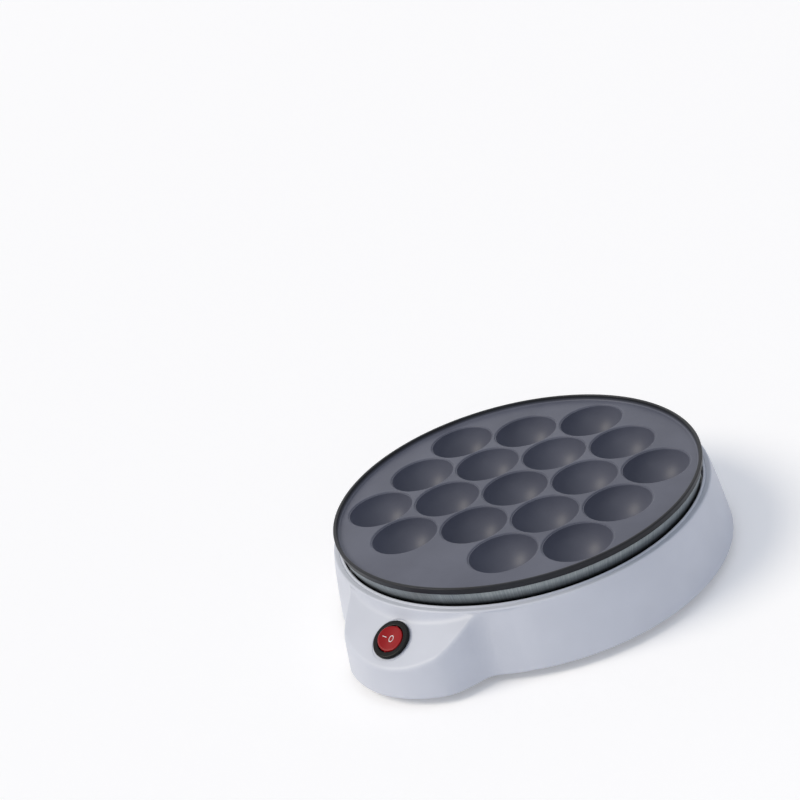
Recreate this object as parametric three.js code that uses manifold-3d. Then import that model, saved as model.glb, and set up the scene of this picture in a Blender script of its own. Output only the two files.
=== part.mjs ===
// Electric takoyaki maker: a cast plate with eighteen cups on a round moulded casing with a control tongue.
// Millimetres, +Z up. The origin lies on the table, in the middle of the length and width.
import * as THREE from 'three';
import { mergeVertices } from 'three/addons/utils/BufferGeometryUtils.js';
import Module from 'manifold-3d';

const wasm = await Module();
wasm.setup();

// General sizes
const overrun = 1; // how far a cutting shape runs past the face that it cuts
const seatGap = 0.3; // clearance between pieces that fit into or round each other
const roundSegments = 48; // facets round the body
const smallSegments = 20; // facets round the switch and the gland
const holeSides = 8;
const screwSides = 6;
const halfTurn = Math.PI;
const quarterTurn = halfTurn / 2;
const degree = halfTurn / 180;

// Cooking plate
const plateSetback = 2.6; // rim's outer edge inside the casing's lip
const rimWidth = 2.1;
const rimRise = 3.1; // rim top above the flat land
const rimRound = 0.6;
const rimDraft = 0.5;
const coatedEdge = 3.7; // height of the rim's upright edge
const landThickness = 2.6;
const plateRise = 12.4; // rim top above the casing's lip
const skirtSetback = 0.8; // the bare skirt starts this far inside the rim's edge
const skirtTaper = 3.6; // and leans in by this much at its foot
const skirtHeight = 13.3;
const skirtWall = 2.4;
const cupMargin = 5.2; // flat land between the rim and the outermost cups
const cupWeb = 2.6; // flat land between neighbouring cups
const cupShallow = 0.4; // a cup is this much less deep than half a ball
const cupWall = 2.2;
const cupRowsAside = 2; // rows of cups on each side of the middle row
const latticeTurn = 60 * degree; // from each of a cup's neighbours to the next
const cupSegments = 16;
const cupRings = 3;
const bowlSegments = 10; // coarser facets on the hidden underside
const bowlRings = 3;

// Casing
const footProud = 5; // casing's lower edge above the table
const baseRadius = 118.8; // outer radius at the lower edge
const wallFlare = 6.2; // the lip's outer edge lies this far inside the lower edge
const lipWidth = 4.7; // lip's outer edge to the opening for the plate
const flarePower = 0.75; // how early the wall flares out below the lip
const flareLevelShares = [0.55, 0.2]; // levels of the wall's facets, as shares of its height below the lip
const casingWall = 2.4;
const lipDepth = 3; // height of the solid lip round the opening
const lipRound = 1.2;
const beadWidth = 1.2; // raised bead round the opening
const beadRise = 0.5;

// Control tongue
const switchProud = 7.4; // middle of the switch beyond the round wall's lower edge
const tongueNose = 16.8; // middle of the switch to the tongue's front, at the lower edge
const tongueDraft = 4.2; // the tongue's wall leans in by this much over the casing's height
const frontArcRadius = 60;
const frontArcTurn = 34 * degree;
const cornerRadius = 24;
const cornerTurn = 32 * degree;
const filletRadius = 14; // where the tongue's side flows into the round wall
const arcStepTurn = 8 * degree;
const filletSteps = 4;
const rootShare = 0.8; // the tongue's outline closes this far in, as a share of the round wall's radius
const panelSlope = 28.4 * degree;
const switchRoom = 2.54; // cover to the leads that bend away under the switch
const bevelFootSetback = 25; // tongue's front to a point on the line where the panel meets its side bevel
const bevelFootWidth = 40;
const bevelHeading = 35.6 * degree; // the bevel faces sideways and this far to the front
const bevelLean = 20 * degree; // and this far up

// Columns, cover and feet
const columnRadius = 4.5;
const columnGap = 0.7; // between a column and the pan's side
const columnAngles = [45, 135, 225, 315].map((angle) => angle * degree);
const tongueColumnInset = 3.55; // two more columns stand this far inside the tongue's corners
const tongueColumnSetback = 22;
const gussetThickness = 2.4;
const coverInset = 0.6; // cover's underside above the casing's lower edge
const coverThickness = 2.4;
const wellDepth = 4; // how far a screw's well rises into the casing
const wellRadius = 4.4;
const wellWall = 1.8;
const ventCount = 18;
const ventWidth = 3;
const ventInner = 24;
const ventOuter = 50;
const footRadius = 8;
const footRound = 0.8;
const footSetback = 30.8; // round wall's lower edge to the middle of a foot
const footStemRadius = 3;
const footStemLength = 5;
const footBarb = 0.8;
const footSegments = 8;
const footAngles = [35, 145, 215, 325].map((angle) => angle * degree);

// Screws
const screwRadius = 1.5;
const screwHeadRadius = 3.2;
const screwHeadHeight = 2.2;
const screwLength = 9;
const smallScrewRadius = 1.2;
const smallScrewHeadRadius = 2.4;
const smallScrewHeadHeight = 1.6;
const smallScrewLength = 5;

// Heating element under the plate
const elementPitchShare = 1.5; // radius of the tube's ring, as a share of the cups' pitch
const elementSteps = 42;
const tubeRadius = 3.2;
const tubeSides = 8;
const ringSegments = 32; // facets round the element's seat and the pan
const saddleWidth = 9;
const elementGap = 15; // half the opening of the ring
const legBend = 6;
const legDrop = 11; // centre line of the ring to the end of its leg
const pinRadius = 1.2;
const pinLength = 4.5;
const clampAngles = [90, 210, 330].map((angle) => angle * degree);
const clampLength = 26;
const clampWidth = 8;
const clampThickness = 1.2;
const clampBossRadius = 3.8;
const clampEnd = 3.8; // clamp's end to the middle of its boss

// Heat shield pan
const shieldThickness = 0.8;
const shieldGap = 0.9; // pan's flange inside the casing's opening
const shieldFlangeWidth = 10;
const shieldMargin = 1.6; // the pan's floor beyond its hole for the front tab's lead
const shieldLift = 10.7; // the pan's floor above the cover
const shieldHeadroom = 1.4; // the pan's floor below the clamps' screws
const shieldFlangeDrop = 20.5; // rim top to the pan's flange
const postRadius = 3.8;
const postGap = 0.2; // between a plate screw's head and the pan's side
const postAngles = [0, 120, 240].map((angle) => angle * degree);

// Thermostat under the place that has no cup, and the thermal fuse
const thermostatRadius = 8;
const thermostatHeight = 8;
const thermostatCapRadius = 6.4;
const thermostatBossHeight = 6;
const thermostatTabSide = 4.8;
const strapWidth = 7;
const strapThickness = 1;
const strapBossRadius = 3.4;
const strapBossGap = 1.6; // between the thermostat and each boss
const strapEnd = 4; // strap's end to the middle of its boss
const fuseRadius = 2.6;
const fuseLength = 26;
const fusePlace = [-40, 0];
const fuseClipThickness = 0.8;
const fuseClipWidth = 6;

// Rocker switch
const bezelRadius = 11.3;
const bezelHeight = 2.2;
const bezelRound = 0.9;
const bezelRoundSteps = 3;
const barrelRadius = 9.9;
const barrelDepth = 12.4;
const barrelFloor = 1.5;
const apertureRadius = 7.9;
const latchLength = 4.5;
const latchWidth = 4;
const latchProud = 1;
const rockerRadius = 7.55;
const rockerHeight = 2.5; // pivot to the rocker's upper edge
const rockerDepth = 1.6; // pivot to its underside
const rockerRings = 4;
const rockerDish = 24; // radius of the hollow across its face
const rockerDishDepth = 0.9;
const rockerLift = 0.9; // pivot above the panel
const rockerTilt = 10 * degree; // each way from level
const trunnionRadius = 0.8;
const trunnionLength = 0.9;
const stemRadius = 2.2;
const stemLength = 3.4;
const stemBoreDepth = 3;
const plungerRadius = 0.9;
const armLength = 11;
const armWidth = 3;
const armThickness = 0.6;
const armTilt = 6 * degree;
const armRoom = 2.7; // barrel's floor to the arm's pivot
const bladeWidth = 4.6;
const bladeThickness = 0.8;
const bladeSides = [-5, 0, 5]; // lamp, line and load
const bladeReach = 5.5; // below the barrel's floor
const bladeDrops = [2.2, 0.6, 1.1]; // arm's pivot to the top of each blade
const lampRadius = 1.5;
const lampLength = 7;
const lampSide = 5;
const lampSink = 0.1; // below the middle between the panel and the arm

// Gland, terminal block and leads
const glandBore = 3.6;
const glandNeck = 5.4;
const glandFlange = 8;
const glandFlangeThickness = 2;
const glandRound = 0.6;
const glandPad = 4; // thickness of the casing's pad that the gland sits in
const glandPadRadius = 10;
const glandHeight = 13.5; // above the casing's lower edge
const glandSink = 1.1; // the pad's outer face lies this far inside the wall
const glandTail = 1.6;
const glandTailFlange = 6.6;
const blockPlace = [34, 62];
const blockLength = 22;
const blockWidth = 12;
const blockHeight = 8;
const blockScrewSeat = 3; // above the cover
const blockScrewSetback = 3; // block's middle to its screw
const blockWaySpacing = 7;
const blockWayDepth = 5.6;
const leadRadius = 1.1;
const leadSides = 6;
const leadSteps = 12;
const leadBend = 4; // length of the straight start and end of a lead
const leadHole = 2.8; // radius of the pan's holes for two leads
const leadHeadroom = 4; // pan to a lead that passes under it
const leadLift = 1.8; // cover to a lead that lies over it
// Two leads pass these places, given sideways and inwards from the switch
const lineSpots = [[3, 46.2], [3, 76.2]];
const lampSpots = [[-3, 31.2], [-2, 76.2]];
const fuseSpot = [-20, -30]; // a third lead passes this place, counted from the fuse
const tabSpot = [-30, 7.6]; // and this one, counted from the thermostat's front tab

// Distances from the plate's axis, worked out from the sizes above
const lipRadius = baseRadius - wallFlare;
const openingRadius = lipRadius - lipWidth;
const plateRadius = lipRadius - plateSetback;
const panelReach = baseRadius + switchProud;
const tongueReach = panelReach + tongueNose;
const bevelFootReach = tongueReach - bevelFootSetback;
const tongueColumnReach = tongueReach - tongueColumnSetback;
const tongueColumnSide = frontArcRadius * Math.sin(frontArcTurn) - tongueColumnInset;
const tongueColumnPlaces = [-1, 1].map((side) => [side * tongueColumnSide, -tongueColumnReach]);
const footReach = baseRadius - footSetback;
const shieldFlangeRadius = openingRadius - shieldGap;
const shieldRimRadius = shieldFlangeRadius - shieldFlangeWidth;
const columnReach = shieldRimRadius + shieldThickness + columnGap + columnRadius;
const postReach = shieldRimRadius + shieldThickness + postGap + screwHeadRadius;

// The cups fill the land: a middle cup and two rows on each side of it, with a web between neighbours
const landRadius = plateRadius - rimWidth - rimDraft;
const cupRadius = (landRadius - cupMargin - cupRowsAside * cupWeb) / (2 * cupRowsAside + 1);
const cupPitch = 2 * cupRadius + cupWeb;
const cupDepth = cupRadius - cupShallow;
const elementRadius = elementPitchShare * cupPitch;
const clampBossReach = clampLength / 2 - clampEnd;
const strapBossReach = thermostatRadius + strapBossGap + strapBossRadius;
const frontPlace = [0, -cupRowsAside * cupPitch]; // the lattice place that has no cup
const strapBossPlaces = [-1, 1].map((side) => [side * strapBossReach, frontPlace[1]]);
const tabPlaces = [-1, 1].map((side) => [0, frontPlace[1] + side * thermostatTabSide]);
const shieldFloorRadius = cupRowsAside * cupPitch + thermostatTabSide + leadHole + shieldMargin;

// Heights, from the cover up to the rim: pan, clamps, heating tube and cups lie over each other
const coverUnderZ = footProud + coverInset;
const coverTopZ = coverUnderZ + coverThickness;
const wellTopZ = coverTopZ + wellDepth;
const shieldFloorUnderZ = coverTopZ + shieldLift;
const shieldFloorTopZ = shieldFloorUnderZ + shieldThickness;
const clampTopZ = shieldFloorTopZ + shieldHeadroom + smallScrewHeadHeight + clampThickness;
const tubeZ = clampTopZ + seatGap + tubeRadius;
const landZ = tubeZ + tubeRadius + seatGap + cupWall + cupDepth;
const rimZ = landZ + rimRise;
const lipZ = rimZ - plateRise;
const casingHeight = lipZ - footProud;
const ledgeZ = lipZ - lipDepth;
const panelZ = coverTopZ + switchRoom + (barrelDepth + bladeReach + leadBend) * Math.cos(panelSlope);
const landUnderZ = landZ - landThickness;
const rootZ = landZ - landThickness / 2; // bowls and bosses grow out of the land's middle
const skirtTopZ = rimZ - coatedEdge;
const skirtFootZ = skirtTopZ - skirtHeight;
const shieldFlangeTopZ = rimZ - shieldFlangeDrop;
const shieldFlangeUnderZ = shieldFlangeTopZ - shieldThickness;
const thermostatTopZ = landUnderZ - thermostatBossHeight;
const strapTopZ = thermostatTopZ - thermostatHeight;
const fuseZ = shieldFloorUnderZ - fuseClipThickness - seatGap - fuseRadius;
const glandZ = footProud + glandHeight;
const wayZ = coverTopZ + blockHeight / 2;
const armDrop = barrelDepth - barrelFloor - armRoom; // panel to the arm's pivot
const plungerReach = armDrop + rockerLift - armThickness / 2 - seatGap; // rocker's pivot to the plunger's tip
const axisY = (tongueReach - baseRadius) / 2;
const toolSize = 2 * (tongueReach + baseRadius); // a cutting block as large as the whole object

// The ball that a cup's hollow is cut from: through the cup's edge and its lowest point
const ballRadius = (cupRadius ** 2 + cupDepth ** 2) / (2 * cupDepth);
const ballZ = landZ - cupDepth + ballRadius;

// Materials
const coating = new THREE.MeshStandardMaterial({ color: 0x44464f, roughness: 0.55, metalness: 0.1 });
const steel = new THREE.MeshStandardMaterial({ color: 0x9a9da0, roughness: 0.35, metalness: 0.9 });
const darkSteel = new THREE.MeshStandardMaterial({ color: 0x4a4c4e, roughness: 0.5, metalness: 0.7 });
const brass = new THREE.MeshStandardMaterial({ color: 0xb89b5a, roughness: 0.35, metalness: 0.9 });
const whitePlastic = new THREE.MeshStandardMaterial({ color: 0xdadde6, roughness: 0.35 });
const blackPlastic = new THREE.MeshStandardMaterial({ color: 0x1d2023, roughness: 0.45 });
const redPlastic = new THREE.MeshStandardMaterial({ color: 0xb01018, roughness: 0.25 });
const rubber = new THREE.MeshStandardMaterial({ color: 0x2a2b2d, roughness: 0.85 });
const ceramic = new THREE.MeshStandardMaterial({ color: 0xd8d2c4, roughness: 0.7 });
const glass = new THREE.MeshStandardMaterial({ color: 0xf0c8a0, roughness: 0.1 });

// A closed geometry as a solid for joining and cutting
function toSolid(geometry) {
  const bare = geometry.clone();
  bare.deleteAttribute('normal');
  bare.deleteAttribute('uv');
  const merged = mergeVertices(bare);
  const corners = merged.index.array;
  const triangles = [];
  for (let i = 0; i < corners.length; i += 3) {
    const [a, b, c] = corners.slice(i, i + 3);
    if (a !== b && b !== c && c !== a) triangles.push(a, b, c);
  }
  const mesh = new wasm.Mesh({
    numProp: 3,
    vertProperties: merged.attributes.position.array,
    triVerts: new Uint32Array(triangles),
  });
  return new wasm.Manifold(mesh);
}

function toGeometry(solid) {
  const { vertProperties, triVerts } = solid.getMesh();
  const geometry = new THREE.BufferGeometry();
  geometry.setAttribute('position', new THREE.BufferAttribute(vertProperties, 3));
  geometry.setIndex(new THREE.BufferAttribute(triVerts, 1));
  return geometry;
}

// All that is in the first list, joined, without what is in the second
function shape(kept, removed = []) {
  const whole = kept.map(toSolid).reduce((sum, next) => sum.add(next));
  return toGeometry(removed.map(toSolid).reduce((rest, next) => rest.subtract(next), whole));
}

function common(first, second) {
  return toGeometry(toSolid(first).intersect(toSolid(second)));
}

// A solid of revolution about Z from a profile of [radius, height] points, listed counter-clockwise
function revolve(profile, segments = roundSegments) {
  const points = profile.map(([radius, height]) => new THREE.Vector2(radius, height));
  if (profile[0][0] > 0) points.push(points[0].clone());
  return new THREE.LatheGeometry(points, segments).rotateX(quarterTurn);
}

function cylinder(radius, lowZ, highZ, segments = holeSides) {
  return revolve([[0, lowZ], [radius, lowZ], [radius, highZ], [0, highZ]], segments);
}

// A cylinder or another solid of revolution laid down along Y
function laid(geometry) {
  return geometry.rotateX(-quarterTurn);
}

function block(sizeX, sizeY, lowZ, highZ) {
  return new THREE.BoxGeometry(sizeX, sizeY, highZ - lowZ).translate(0, 0, (lowZ + highZ) / 2);
}

function at([x, y], geometry) {
  return geometry.clone().translate(x, y, 0);
}

function lifted(z, geometry) {
  return geometry.clone().translate(0, 0, z);
}

function turned(angle, geometry) {
  return geometry.clone().rotateZ(angle);
}

function polar(radius, angle) {
  return [radius * Math.cos(angle), radius * Math.sin(angle)];
}

function arc(centreX, centreY, radius, from, to, steps) {
  const points = [];
  for (let i = 0; i <= steps; i += 1) {
    const angle = from + ((to - from) * i) / steps;
    points.push([centreX + radius * Math.cos(angle), centreY + radius * Math.sin(angle)]);
  }
  return points;
}

// All that lies beyond the plane through the point, on the side that the normal points to
function spaceBeyond(point, normal) {
  const up = new THREE.Vector3(0, 0, 1);
  const turn = new THREE.Quaternion().setFromUnitVectors(up, normal);
  return block(toolSize, toolSize, 0, toolSize).applyQuaternion(turn).translate(point.x, point.y, point.z);
}

// A closed skin over outlines of equally many points, one at each height
function loft(outlines, heights) {
  const count = outlines[0].length;
  const positions = outlines.flatMap((outline, level) => outline.flatMap((p) => [p.x, p.y, heights[level]]));
  const triangles = [];
  for (let level = 0; level + 1 < outlines.length; level += 1) {
    const low = level * count;
    const high = low + count;
    for (let i = 0; i < count; i += 1) {
      const next = (i + 1) % count;
      triangles.push(low + i, low + next, high + next, low + i, high + next, high + i);
    }
  }
  const top = (outlines.length - 1) * count;
  for (const [a, b, c] of THREE.ShapeUtils.triangulateShape(outlines[0], [])) triangles.push(c, b, a);
  for (const [a, b, c] of THREE.ShapeUtils.triangulateShape(outlines.at(-1), [])) {
    triangles.push(top + a, top + b, top + c);
  }
  const geometry = new THREE.BufferGeometry();
  geometry.setAttribute('position', new THREE.Float32BufferAttribute(positions, 3));
  return geometry.setIndex(triangles);
}

function tube(path, radius, sides, steps) {
  const section = new THREE.Shape();
  section.absarc(0, 0, radius, 0, 2 * halfTurn);
  return new THREE.ExtrudeGeometry(section, { steps, extrudePath: path, curveSegments: sides / 2 });
}

// Screw that points up, with its head's bearing face at the height given
function screw(seatZ, radius, headRadius, headHeight, length) {
  return revolve([
    [0, seatZ - headHeight],
    [headRadius, seatZ - headHeight],
    [headRadius, seatZ],
    [radius, seatZ],
    [radius, seatZ + length],
    [0, seatZ + length],
  ], screwSides);
}

function largeScrew(seatZ) {
  return screw(seatZ, screwRadius, screwHeadRadius, screwHeadHeight, screwLength);
}

function smallScrew(seatZ) {
  return screw(seatZ, smallScrewRadius, smallScrewHeadRadius, smallScrewHeadHeight, smallScrewLength);
}

// A screw turned over about its seat, so that it points down
function turnedOver(seatZ, fastener) {
  return lifted(seatZ, lifted(-seatZ, fastener).rotateX(halfTurn));
}

function screwHole(radius, lowZ, highZ) {
  return cylinder(radius + seatGap, lowZ, highZ);
}

// The scene: everything is modelled round the plate's axis, which lies behind the middle of the object
const takoyakiMaker = new THREE.Group();
const body = new THREE.Group();
body.position.y = axisY;
takoyakiMaker.add(body);

function add(name, geometry, material, parent = body) {
  const mesh = new THREE.Mesh(geometry, material);
  mesh.name = name;
  parent.add(mesh);
}

// Cup places: rows of three, four, five, four and three across the plate, without the one at the front
function cupPlaces() {
  const places = [];
  for (let row = -cupRowsAside; row <= cupRowsAside; row += 1) {
    const across = row * cupPitch * Math.sin(latticeTurn);
    const count = 2 * cupRowsAside + 1 - Math.abs(row);
    for (let i = 0; i < count; i += 1) {
      const along = (i - (count - 1) / 2) * cupPitch;
      const isFrontPlace = row === 0 && i === 0;
      if (!isFrontPlace) places.push([across, along]);
    }
  }
  return places;
}

// Half the section of a cup or of its bowl, from the lowest point up to a flat top
function bowlProfile(radius, topZ, rings) {
  const edgeAngle = Math.asin((topZ - ballZ) / radius);
  const wall = arc(0, ballZ, radius, -quarterTurn, edgeAngle, rings);
  return [[0, ballZ - radius], ...wall.slice(1), [0, topZ]];
}

// The blank is the flat land with its rim and skirt, turned from one profile
function plateBlank() {
  const skirtTopRadius = plateRadius - skirtSetback;
  const skirtFootRadius = skirtTopRadius - skirtTaper;
  return revolve([
    [0, landUnderZ],
    [skirtTopRadius - skirtWall, landUnderZ],
    [skirtFootRadius - skirtWall, skirtFootZ],
    [skirtFootRadius, skirtFootZ],
    [skirtTopRadius, skirtTopZ],
    [plateRadius - rimDraft, skirtTopZ],
    [plateRadius, rimZ - rimRound],
    [plateRadius - rimRound, rimZ],
    [plateRadius - rimWidth, rimZ],
    [plateRadius - rimWidth - rimDraft, landZ],
    [0, landZ],
  ]);
}

function makePlate() {
  const bowl = revolve(bowlProfile(ballRadius + cupWall, rootZ, bowlRings), bowlSegments);
  const mouth = [[cupRadius, landZ + overrun], [0, landZ + overrun]];
  const hollow = revolve([...bowlProfile(ballRadius, landZ, cupRings).slice(0, -1), ...mouth], cupSegments);
  const saddle = revolve([
    [elementRadius - saddleWidth / 2, tubeZ],
    [elementRadius + saddleWidth / 2, tubeZ],
    [elementRadius + saddleWidth / 2, rootZ],
    [elementRadius - saddleWidth / 2, rootZ],
  ], ringSegments);
  const grooveRadius = (tubeRadius + seatGap) / Math.cos(halfTurn / tubeSides);
  const groove = arc(elementRadius, tubeZ, grooveRadius, 0, 2 * halfTurn, tubeSides).slice(1);
  const added = [plateBlank(), saddle];
  const removed = [revolve(groove, ringSegments)];
  for (const place of cupPlaces()) {
    added.push(at(place, bowl));
    removed.push(at(place, hollow));
  }
  for (const angle of clampAngles) {
    const outer = polar(elementRadius + clampBossReach, angle);
    const inner = polar(elementRadius - clampBossReach, angle);
    added.push(at(outer, cylinder(clampBossRadius, clampTopZ, rootZ)));
    added.push(at(inner, cylinder(clampBossRadius, clampTopZ, rootZ)));
    removed.push(at(outer, screwHole(smallScrewRadius, clampTopZ - overrun, clampTopZ + smallScrewLength)));
  }
  const postHole = screwHole(screwRadius, shieldFlangeTopZ - overrun, shieldFlangeTopZ + screwLength);
  for (const angle of postAngles) {
    const place = polar(postReach, angle);
    added.push(at(place, cylinder(postRadius, shieldFlangeTopZ, rootZ)));
    removed.push(at(place, postHole));
  }
  added.push(at(frontPlace, cylinder(thermostatRadius, thermostatTopZ, rootZ, bowlSegments)));
  for (const place of strapBossPlaces) {
    added.push(at(place, cylinder(strapBossRadius, strapTopZ, rootZ)));
    removed.push(at(place, screwHole(smallScrewRadius, strapTopZ - overrun, strapTopZ + smallScrewLength)));
  }
  return shape(added, removed);
}

add('cooking_plate', makePlate(), coating);

// Heating element: a tube ring with a gap at the front, where both ends turn down through the pan

const gapAngle = Math.asin(elementGap / elementRadius);
const ringStart = gapAngle - quarterTurn;
const ringEnd = ringStart + 2 * (halfTurn - gapAngle);

// Where a leg would meet the ring's tangent if the bend were sharp
function legPlace(angle, side) {
  const [x, y] = polar(elementRadius, angle);
  return [x - side * legBend * Math.sin(angle), y + side * legBend * Math.cos(angle)];
}

const legPlaces = [legPlace(ringStart, -1), legPlace(ringEnd, 1)];

function makeElement() {
  const legPoint = ([x, y], drop) => new THREE.Vector3(x, y, tubeZ - drop);
  const ring = arc(0, 0, elementRadius, ringStart, ringEnd, ringSegments).map((place) => legPoint(place, 0));
  const [startLeg, endLeg] = legPlaces;
  const path = new THREE.CurvePath();
  path.add(new THREE.LineCurve3(legPoint(startLeg, legDrop), legPoint(startLeg, legBend)));
  path.add(new THREE.QuadraticBezierCurve3(legPoint(startLeg, legBend), legPoint(startLeg, 0), ring[0]));
  path.add(new THREE.CatmullRomCurve3(ring));
  path.add(new THREE.QuadraticBezierCurve3(ring.at(-1), legPoint(endLeg, 0), legPoint(endLeg, legBend)));
  path.add(new THREE.LineCurve3(legPoint(endLeg, legBend), legPoint(endLeg, legDrop)));
  return tube(path, tubeRadius, tubeSides, elementSteps);
}

function makeClamp() {
  const hole = screwHole(smallScrewRadius, clampTopZ - 2 * clampThickness, clampTopZ + overrun);
  const strip = block(clampLength, clampWidth, clampTopZ - clampThickness, clampTopZ);
  return shape([strip], [at([clampBossReach, 0], hole)]);
}

add('heating_element', shape([makeElement()]), darkSteel);
legPlaces.forEach((place, i) => {
  const pinTopZ = tubeZ - legDrop;
  add(`element_pin_${i + 1}`, at(place, cylinder(pinRadius, pinTopZ - pinLength, pinTopZ)), steel);
});
clampAngles.forEach((angle, i) => {
  const clamp = at([elementRadius, 0], makeClamp());
  const fastener = at([elementRadius + clampBossReach, 0], smallScrew(clampTopZ - clampThickness));
  add(`element_clamp_${i + 1}`, turned(angle, clamp), steel);
  add(`clamp_screw_${i + 1}`, turned(angle, fastener), steel);
});

// Heat shield pan: it carries the plate's posts and rests on the casing's columns
function makeShield() {
  const pan = revolve([
    [0, shieldFloorUnderZ],
    [shieldFloorRadius, shieldFloorUnderZ],
    [shieldRimRadius + shieldThickness, shieldFlangeUnderZ],
    [shieldFlangeRadius, shieldFlangeUnderZ],
    [shieldFlangeRadius, shieldFlangeTopZ],
    [shieldRimRadius, shieldFlangeTopZ],
    [shieldFloorRadius - shieldThickness, shieldFloorTopZ],
    [0, shieldFloorTopZ],
  ], ringSegments);
  const flangeHole = screwHole(screwRadius, shieldFlangeUnderZ - overrun, shieldFlangeTopZ + overrun);
  const floorHole = (radius) => cylinder(radius, shieldFloorUnderZ - overrun, shieldFloorTopZ + overrun);
  return shape([pan], [
    ...postAngles.map((angle) => at(polar(postReach, angle), flangeHole)),
    ...columnAngles.map((angle) => at(polar(columnReach, angle), flangeHole)),
    ...legPlaces.map((place) => at(place, floorHole(tubeRadius + 2 * seatGap))),
    ...tabPlaces.map((place) => at(place, floorHole(leadHole))),
  ]);
}

add('heat_shield', makeShield(), steel);
postAngles.forEach((angle, i) => {
  add(`plate_screw_${i + 1}`, at(polar(postReach, angle), largeScrew(shieldFlangeUnderZ)), steel);
});
columnAngles.forEach((angle, i) => {
  const fastener = turnedOver(shieldFlangeTopZ, largeScrew(shieldFlangeTopZ));
  add(`shield_screw_${i + 1}`, at(polar(columnReach, angle), fastener), steel);
});

// Thermostat, pressed against the plate by a strap
function makeThermostat() {
  const canFootZ = thermostatTopZ - thermostatHeight / 2;
  const can = cylinder(thermostatRadius, canFootZ, thermostatTopZ, bowlSegments);
  const cap = cylinder(thermostatCapRadius, strapTopZ, canFootZ + overrun, bowlSegments);
  const tab = block(bladeWidth, bladeThickness, strapTopZ - bladeReach, strapTopZ + overrun);
  return shape([can, cap, at([0, thermostatTabSide], tab), at([0, -thermostatTabSide], tab)]);
}

function makeStrap() {
  const length = 2 * (strapBossReach + strapEnd);
  const strip = block(length, strapWidth, strapTopZ - strapThickness, strapTopZ);
  const hole = screwHole(smallScrewRadius, strapTopZ - 2 * strapThickness, strapTopZ + overrun);
  return shape([strip], [at([strapBossReach, 0], hole), at([-strapBossReach, 0], hole)]);
}

add('thermostat', at(frontPlace, makeThermostat()), ceramic);
add('thermostat_strap', at(frontPlace, makeStrap()), steel);
strapBossPlaces.forEach((place, i) => {
  add(`strap_screw_${i + 1}`, at(place, smallScrew(strapTopZ - strapThickness)), steel);
});

// Thermal fuse in a clip under the pan, lying across
function acrossFuse(radius, length) {
  return lifted(fuseZ, turned(quarterTurn, laid(cylinder(radius, -length / 2, length / 2))));
}

function makeFuseClip() {
  const reach = fuseRadius + seatGap + fuseClipThickness;
  return shape([block(fuseClipWidth, 2 * reach, fuseZ - reach, shieldFloorUnderZ)],
    [acrossFuse(fuseRadius + seatGap, fuseLength)]);
}

add('thermal_fuse', at(fusePlace, acrossFuse(fuseRadius, fuseLength)), ceramic);
add('fuse_clip', at(fusePlace, makeFuseClip()), steel);

// Casing: a flared round wall and a control tongue, moulded in one piece

function wallRadius(z) {
  const dropShare = (lipZ - z) / casingHeight;
  return lipRadius + (baseRadius - lipRadius) * dropShare ** flarePower;
}

function wallPoints(inset, lowZ, highZ) {
  const levels = flareLevelShares.map((share) => lipZ - share * casingHeight).filter((z) => z < highZ);
  const facets = [...levels, highZ].map((z) => [wallRadius(z) - inset, z]);
  return [[baseRadius - inset, lowZ], ...facets];
}

// The round part up to the height given, moved in by the inset on its wall
function roundPart(inset, lowZ, highZ) {
  return revolve([[0, lowZ], ...wallPoints(inset, lowZ, highZ), [0, highZ]]);
}

function roundOutside() {
  const bendZ = lipZ - lipRound;
  const beadRadius = openingRadius + beadWidth;
  return revolve([
    [0, footProud],
    ...wallPoints(0, footProud, bendZ),
    [wallRadius(bendZ) - lipRound, lipZ],
    [beadRadius, lipZ],
    [beadRadius - beadRise, lipZ + beadRise],
    [0, lipZ + beadRise],
  ]);
}

// One side of the tongue at a height: from the middle of its front to where it meets the round wall
function tongueSide(z, inset) {
  const lean = inset + (tongueDraft * (z - footProud)) / casingHeight;
  let heading = 0;
  let x = 0;
  let y = lean - tongueReach;
  const points = [[x, y]];
  for (const [radius, turn] of [[frontArcRadius - lean, frontArcTurn], [cornerRadius - lean, cornerTurn]]) {
    const from = heading - quarterTurn;
    const centreX = x - radius * Math.cos(from);
    const centreY = y - radius * Math.sin(from);
    const bend = arc(centreX, centreY, radius, from, from + turn, Math.ceil(turn / arcStepTurn));
    points.push(...bend.slice(1));
    [x, y] = bend.at(-1);
    heading += turn;
  }
  // The fillet's circle touches the straight side and, from outside, the round wall
  const filletSize = filletRadius + lean;
  const along = new THREE.Vector2(Math.cos(heading), Math.sin(heading));
  const centre = new THREE.Vector2(x + filletSize * along.y, y - filletSize * along.x);
  const reach = wallRadius(z) - inset + filletSize;
  const ahead = centre.dot(along);
  centre.addScaledVector(along, -ahead - Math.sqrt(ahead ** 2 - centre.lengthSq() + reach ** 2));
  const meeting = Math.atan2(-centre.y, -centre.x);
  points.push(...arc(centre.x, centre.y, filletSize, heading + quarterTurn, meeting, filletSteps));
  return points;
}

// Both sides of the tongue in one outline, closed by a line across the inside of the round part
function tongueOutline(z, inset) {
  const side = tongueSide(z, inset);
  const [endX, endY] = side.at(-1);
  side.push([endX * rootShare, endY * rootShare]);
  const otherSide = side.slice(1).reverse().map(([x, y]) => [-x, y]);
  return [...otherSide, ...side].map(([x, y]) => new THREE.Vector2(x, y));
}

function panelHeight(reach) {
  return panelZ + (panelReach - reach) * Math.tan(panelSlope);
}

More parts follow.
